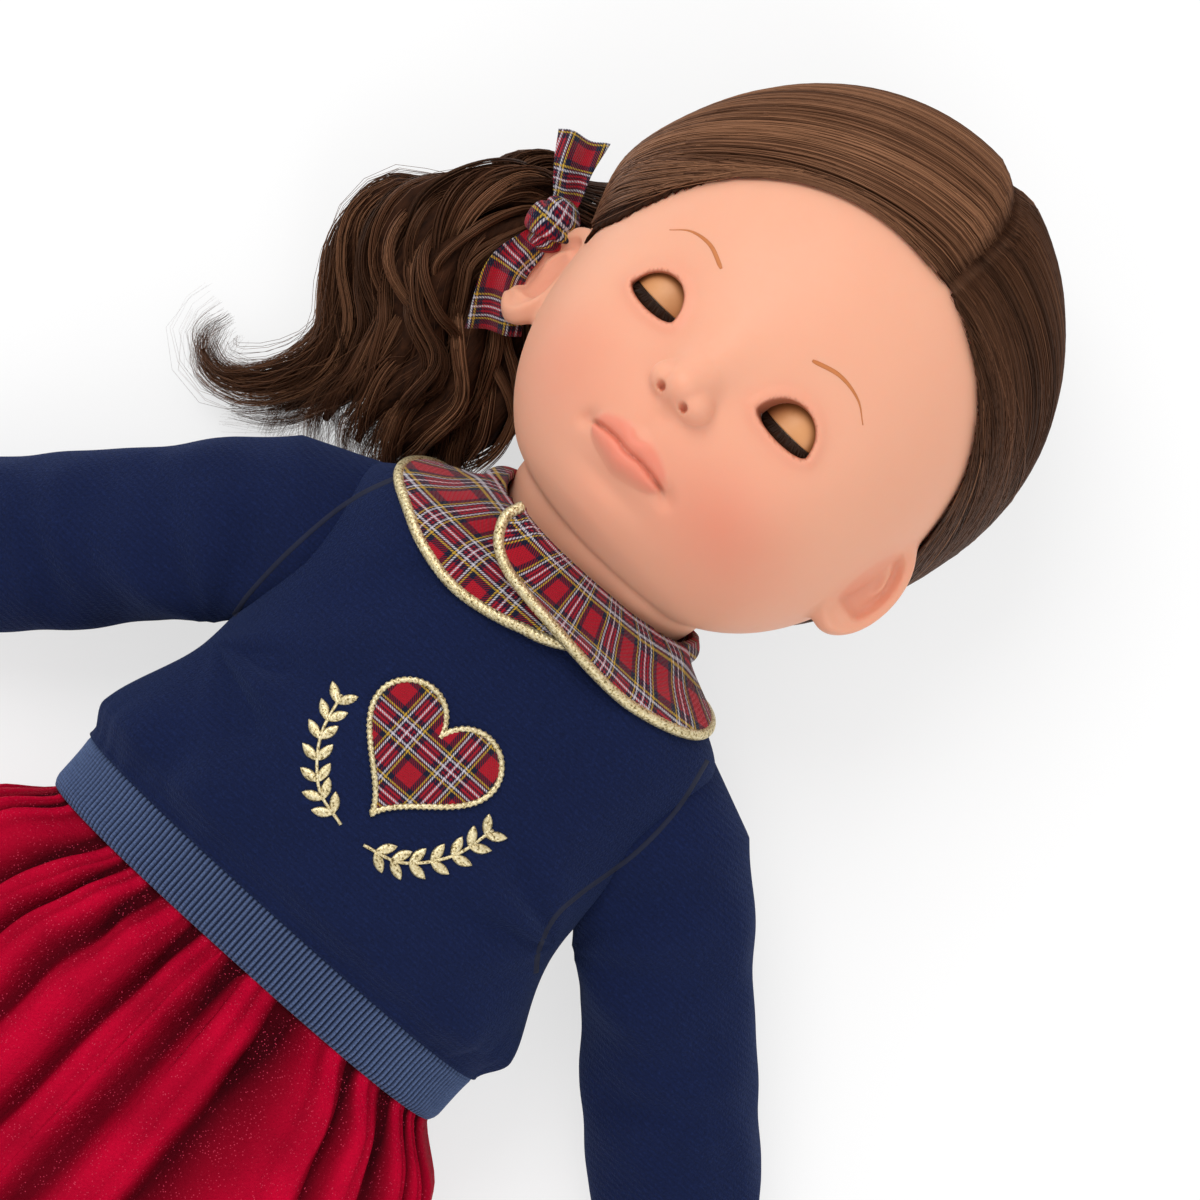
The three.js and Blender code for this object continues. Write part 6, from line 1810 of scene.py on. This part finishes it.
def make_seams(shirt, sleeves):
    """A thin dark line along each armhole, laid on from above: the stitching, darkened as painted shade of
    the seam's crease.
    """
    count, above = 90, 120.0
    for side, stops in ARMHOLES.items():
        path = curve([(x, y, above) for x, y in stops], count)
        tree = tree_of(shirt, sleeves[side])
        points, faces = ribbon_on(tree, path, np.full(count, 0.5), 0.1, DOWN)
        make(f"armhole_seam_{side}", points, faces, SEAM, "trunk", "navy_fleece")


# Legs, feet and shoes

LEG_LENGTH, LEG_SPLAY = 104.0, math.radians(5)
FOOT_LENGTH, HEEL = 40.0, 13.0


def leg_point(length):
    """The left leg's axis by length from the hip."""
    length = np.asarray(length, float)
    aside, down = math.sin(LEG_SPLAY) * length, -math.cos(LEG_SPLAY) * length
    return HIP + np.stack([aside, down, -14 * smooth(length / LEG_LENGTH)], -1)


foot_wide = profile([(0, 5.6), (0.12, 8), (0.65, 10), (0.9, 8), (1, 4)])
foot_high = profile([(0, 7.8), (0.12, 13.65), (0.4, 14.95), (0.75, 10.4), (1, 4.55)])
leg_radius = profile([(0, 17.5), (0.3, 17), (0.52, 15), (0.72, 15.5), (1, 11.5)])
ANKLE = leg_point(LEG_LENGTH)
KNEE = leg_point(54.0)
SOLE_Y, SOLE_THICK = -186.6, 2.9
SHOE_THICK, SHOE_GAP = 1.9, 0.25


def foot_field(x, y, z):
    """A foot that stands on the sole's plane, from the heel to the toes."""
    t = (z - (ANKLE[2] - HEEL)) / FOOT_LENGTH
    inside = np.clip(t, 0, 1)
    wide, high = foot_wide(inside), foot_high(inside)
    up = y - SOLE_Y
    girth = np.sqrt(((x - ANKLE[0]) / wide) ** 2 + (np.maximum(up, 0) / high) ** 2)
    body = (girth - 1) * np.minimum(wide, high) * 0.9
    ends = np.maximum(-t, t - 1) * FOOT_LENGTH
    return np.maximum(carved(body, -ends, 5), -up)


def leg_field(x, y, z):
    """The left leg and foot, with a round bar across the hip and a dimple at the knee."""
    stops = np.linspace(0, LEG_LENGTH, 49)
    limb = chain(x, y, z, leg_point(stops), np.minimum(leg_radius(stops / LEG_LENGTH), 16.6))
    bar = carved(np.hypot(y - HIP[1], z - HIP[2]) - CROTCH_RADIUS, 17.4 - np.abs(x - HIP[0]), 4)
    field = joined(limb, bar, 2.5)
    dimple = np.exp(-((x - KNEE[0]) ** 2 + (y - KNEE[1]) ** 2) / 40) * smooth((z - KNEE[2]) / 4)
    field = field + 0.8 * dimple
    return np.maximum(joined(field, foot_field(x, y, z), 4), np.maximum(8.5 - x, SOLE_Y - y))


def shoe_field(x, y, z):
    """A low shoe over the foot, open round the ankle."""
    foot = foot_field(x, y, z)
    heel, toe = smooth((ANKLE[2] - 3 - z) / 10), smooth((z - ANKLE[2] - 13) / 6)
    cut = y - (SOLE_Y + 7.5 + 5.5 * heel + 1.5 * toe)
    opening = np.maximum(-cut, np.hypot(x - ANKLE[0], 0.62 * (z - ANKLE[2] + 0.5)) - 9.2)
    upper = carved(np.maximum(foot - SHOE_THICK, SOLE_Y - y), opening, 0.8)
    return np.maximum(upper, -(foot - SHOE_GAP))


def sole_field(x, y, z):
    """The shoe's sole, with a groove round it and lugs under it."""
    t = np.clip((z - (ANKLE[2] - HEEL)) / FOOT_LENGTH, 0, 1)
    flat = carved(np.abs(x - ANKLE[0]) - foot_wide(t) - 2.0, 22 - np.abs(z - ANKLE[2] - 7), 7)
    groove = 0.35 * bell((y - SOLE_Y + 1.0) / 0.3)
    lugs = 0.4 * (np.sin(z * 2 * np.pi / 3.2) > 0.3) * (y < SOLE_Y - 2.4)
    return np.maximum(flat + groove + 0.6, np.maximum(y - SOLE_Y + 0.15, SOLE_Y - SOLE_THICK - y)) + lugs


def make_legs():
    """Legs, shoes and soles, shaped on the left and mirrored."""
    leg, leg_faces = smooth_iso(leg_field, (4, -190, -6), (56, -46, 52), 0.9)
    low, high = (ANKLE[0] - 15, SOLE_Y - 5, -2), (ANKLE[0] + 15, SOLE_Y + 22, ANKLE[2] + 32)
    shoe, shoe_faces = iso(shoe_field, low, high, 0.45)
    sole, sole_faces = iso(sole_field, low, high, 0.45)
    skin = skin_values(len(leg), 0.35 * np.exp(-((leg - KNEE - 14 * UP) ** 2).sum(1) / 110))
    for side, sign in SIDES.items():
        body = f"leg_{side}"
        make(f"leg_skin_{side}", mirror(leg, sign), leg_faces, SKIN, body, "vinyl_skin", body, **skin)
        make(f"shoe_{side}", mirror(shoe, sign), shoe_faces, SHOE, body, "shoe", f"shoe_upper_{side}")
        make(f"sole_{side}", mirror(sole, sign), sole_faces, SOLE, body, "shoe_sole", f"shoe_sole_{side}")


# Inner pieces that keep the shapes they have

KEPT = {
    "eye_case": CASE, "eye_axle": STEEL, "eye_weight": WEIGHT, "hair_elastic": ELASTIC,
    "neck_tie": TIE, "shoulder_tie": TIE, "hip_tie": TIE,
}


def paint_kept():
    """Gives the nodes that stay their own materials."""
    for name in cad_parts:
        for start, material in KEPT.items():
            if name.startswith(start):
                piece = bpy.data.objects[name]
                piece.data.materials.clear()
                piece.data.materials.append(material)


# Floor, light and camera

FLOOR_HALF, FLOOR_Z = 6, -0.0003
CHEST = (0, 0.05, 0.03)


def area_light(name, place, target, size, power):
    """A round soft lamp that faces a target."""
    data = bpy.data.lights.new(name, "AREA")
    data.shape = "DISK"
    data.size = size
    data.energy = power
    lamp = bpy.data.objects.new(name, data)
    lamp.location = place
    lamp.rotation_euler = (Vector(target) - Vector(place)).to_track_quat("-Z", "Y").to_euler()
    bpy.context.scene.collection.objects.link(lamp)


def make_floor():
    """White ground that glows where it is seen, so that it stays white round the doll's shadow."""
    p = Paint("floor_white", Specular_IOR_Level=0.1)
    p.put("Base Color", p.mix(p.noise(0.3, 2), "fbfbfb", "f7f7f7"))
    p.put("Roughness", 0.9)
    path = p.node("LightPath").outputs
    mirrored = p.math("MAXIMUM", path["Is Glossy Ray"], path["Is Transmission Ray"])
    seen = p.math("MAXIMUM", path["Is Camera Ray"], mirrored)
    glow = p.node("Emission", {"Color": "ffffff", "Strength": 1.0}).outputs[0]
    share = p.math("MULTIPLY", seen, 0.66)
    both = p.node("MixShader", {0: share, 1: p.shader.outputs[0], 2: glow}).outputs[0]
    p.put("Surface", both, p.tree.nodes["Material Output"])
    corners = [(x * FLOOR_HALF, y * FLOOR_HALF, FLOOR_Z) for x, y in ((-1, -1), (1, -1), (1, 1), (-1, 1))]
    mesh = bpy.data.meshes.new("floor")
    mesh.from_pydata(corners, [], [(0, 1, 2, 3)])
    mesh.materials.append(p.material)
    floor = bpy.data.objects.new("floor", mesh)
    bpy.context.scene.collection.objects.link(floor)


def make_stage():
    scene = bpy.context.scene
    make_floor()
    world = bpy.data.worlds.new("studio")
    scene.world = world
    world.use_nodes = True
    sky = world.node_tree.nodes["Background"].inputs
    sky["Color"].default_value = (1, 1, 1, 1)
    sky["Strength"].default_value = 0.70
    area_light("key", (-0.75, 0.55, 1.25), CHEST, 0.9, 11.1)
    area_light("fill", (0.9, -0.3, 1.1), CHEST, 1.0, 4.0)

    camera = bpy.data.cameras.new("camera")
    camera.lens = 135
    camera.sensor_width = 36
    camera.dof.use_dof = False
    eye = bpy.data.objects.new("camera", camera)
    eye.location = (0.0063, 0.052, 0.95)
    eye.rotation_euler = (0, 0, math.radians(42))
    scene.collection.objects.link(eye)
    scene.camera = eye
    scene.view_settings.view_transform = "Standard"


face = make_head()
make_brows(face)
for side, sign in SIDES.items():
    make_eye(side, sign)
make_hair()
make_ponytail()
make_bow()
make_trunk()
shirt = make_shirt()
make_hem()
for side, sign in SIDES.items():
    make_collar(side, sign)
make_motif(shirt)
make_skirt()
make_seams(shirt, make_arms())
make_legs()
paint_kept()
make_stage()
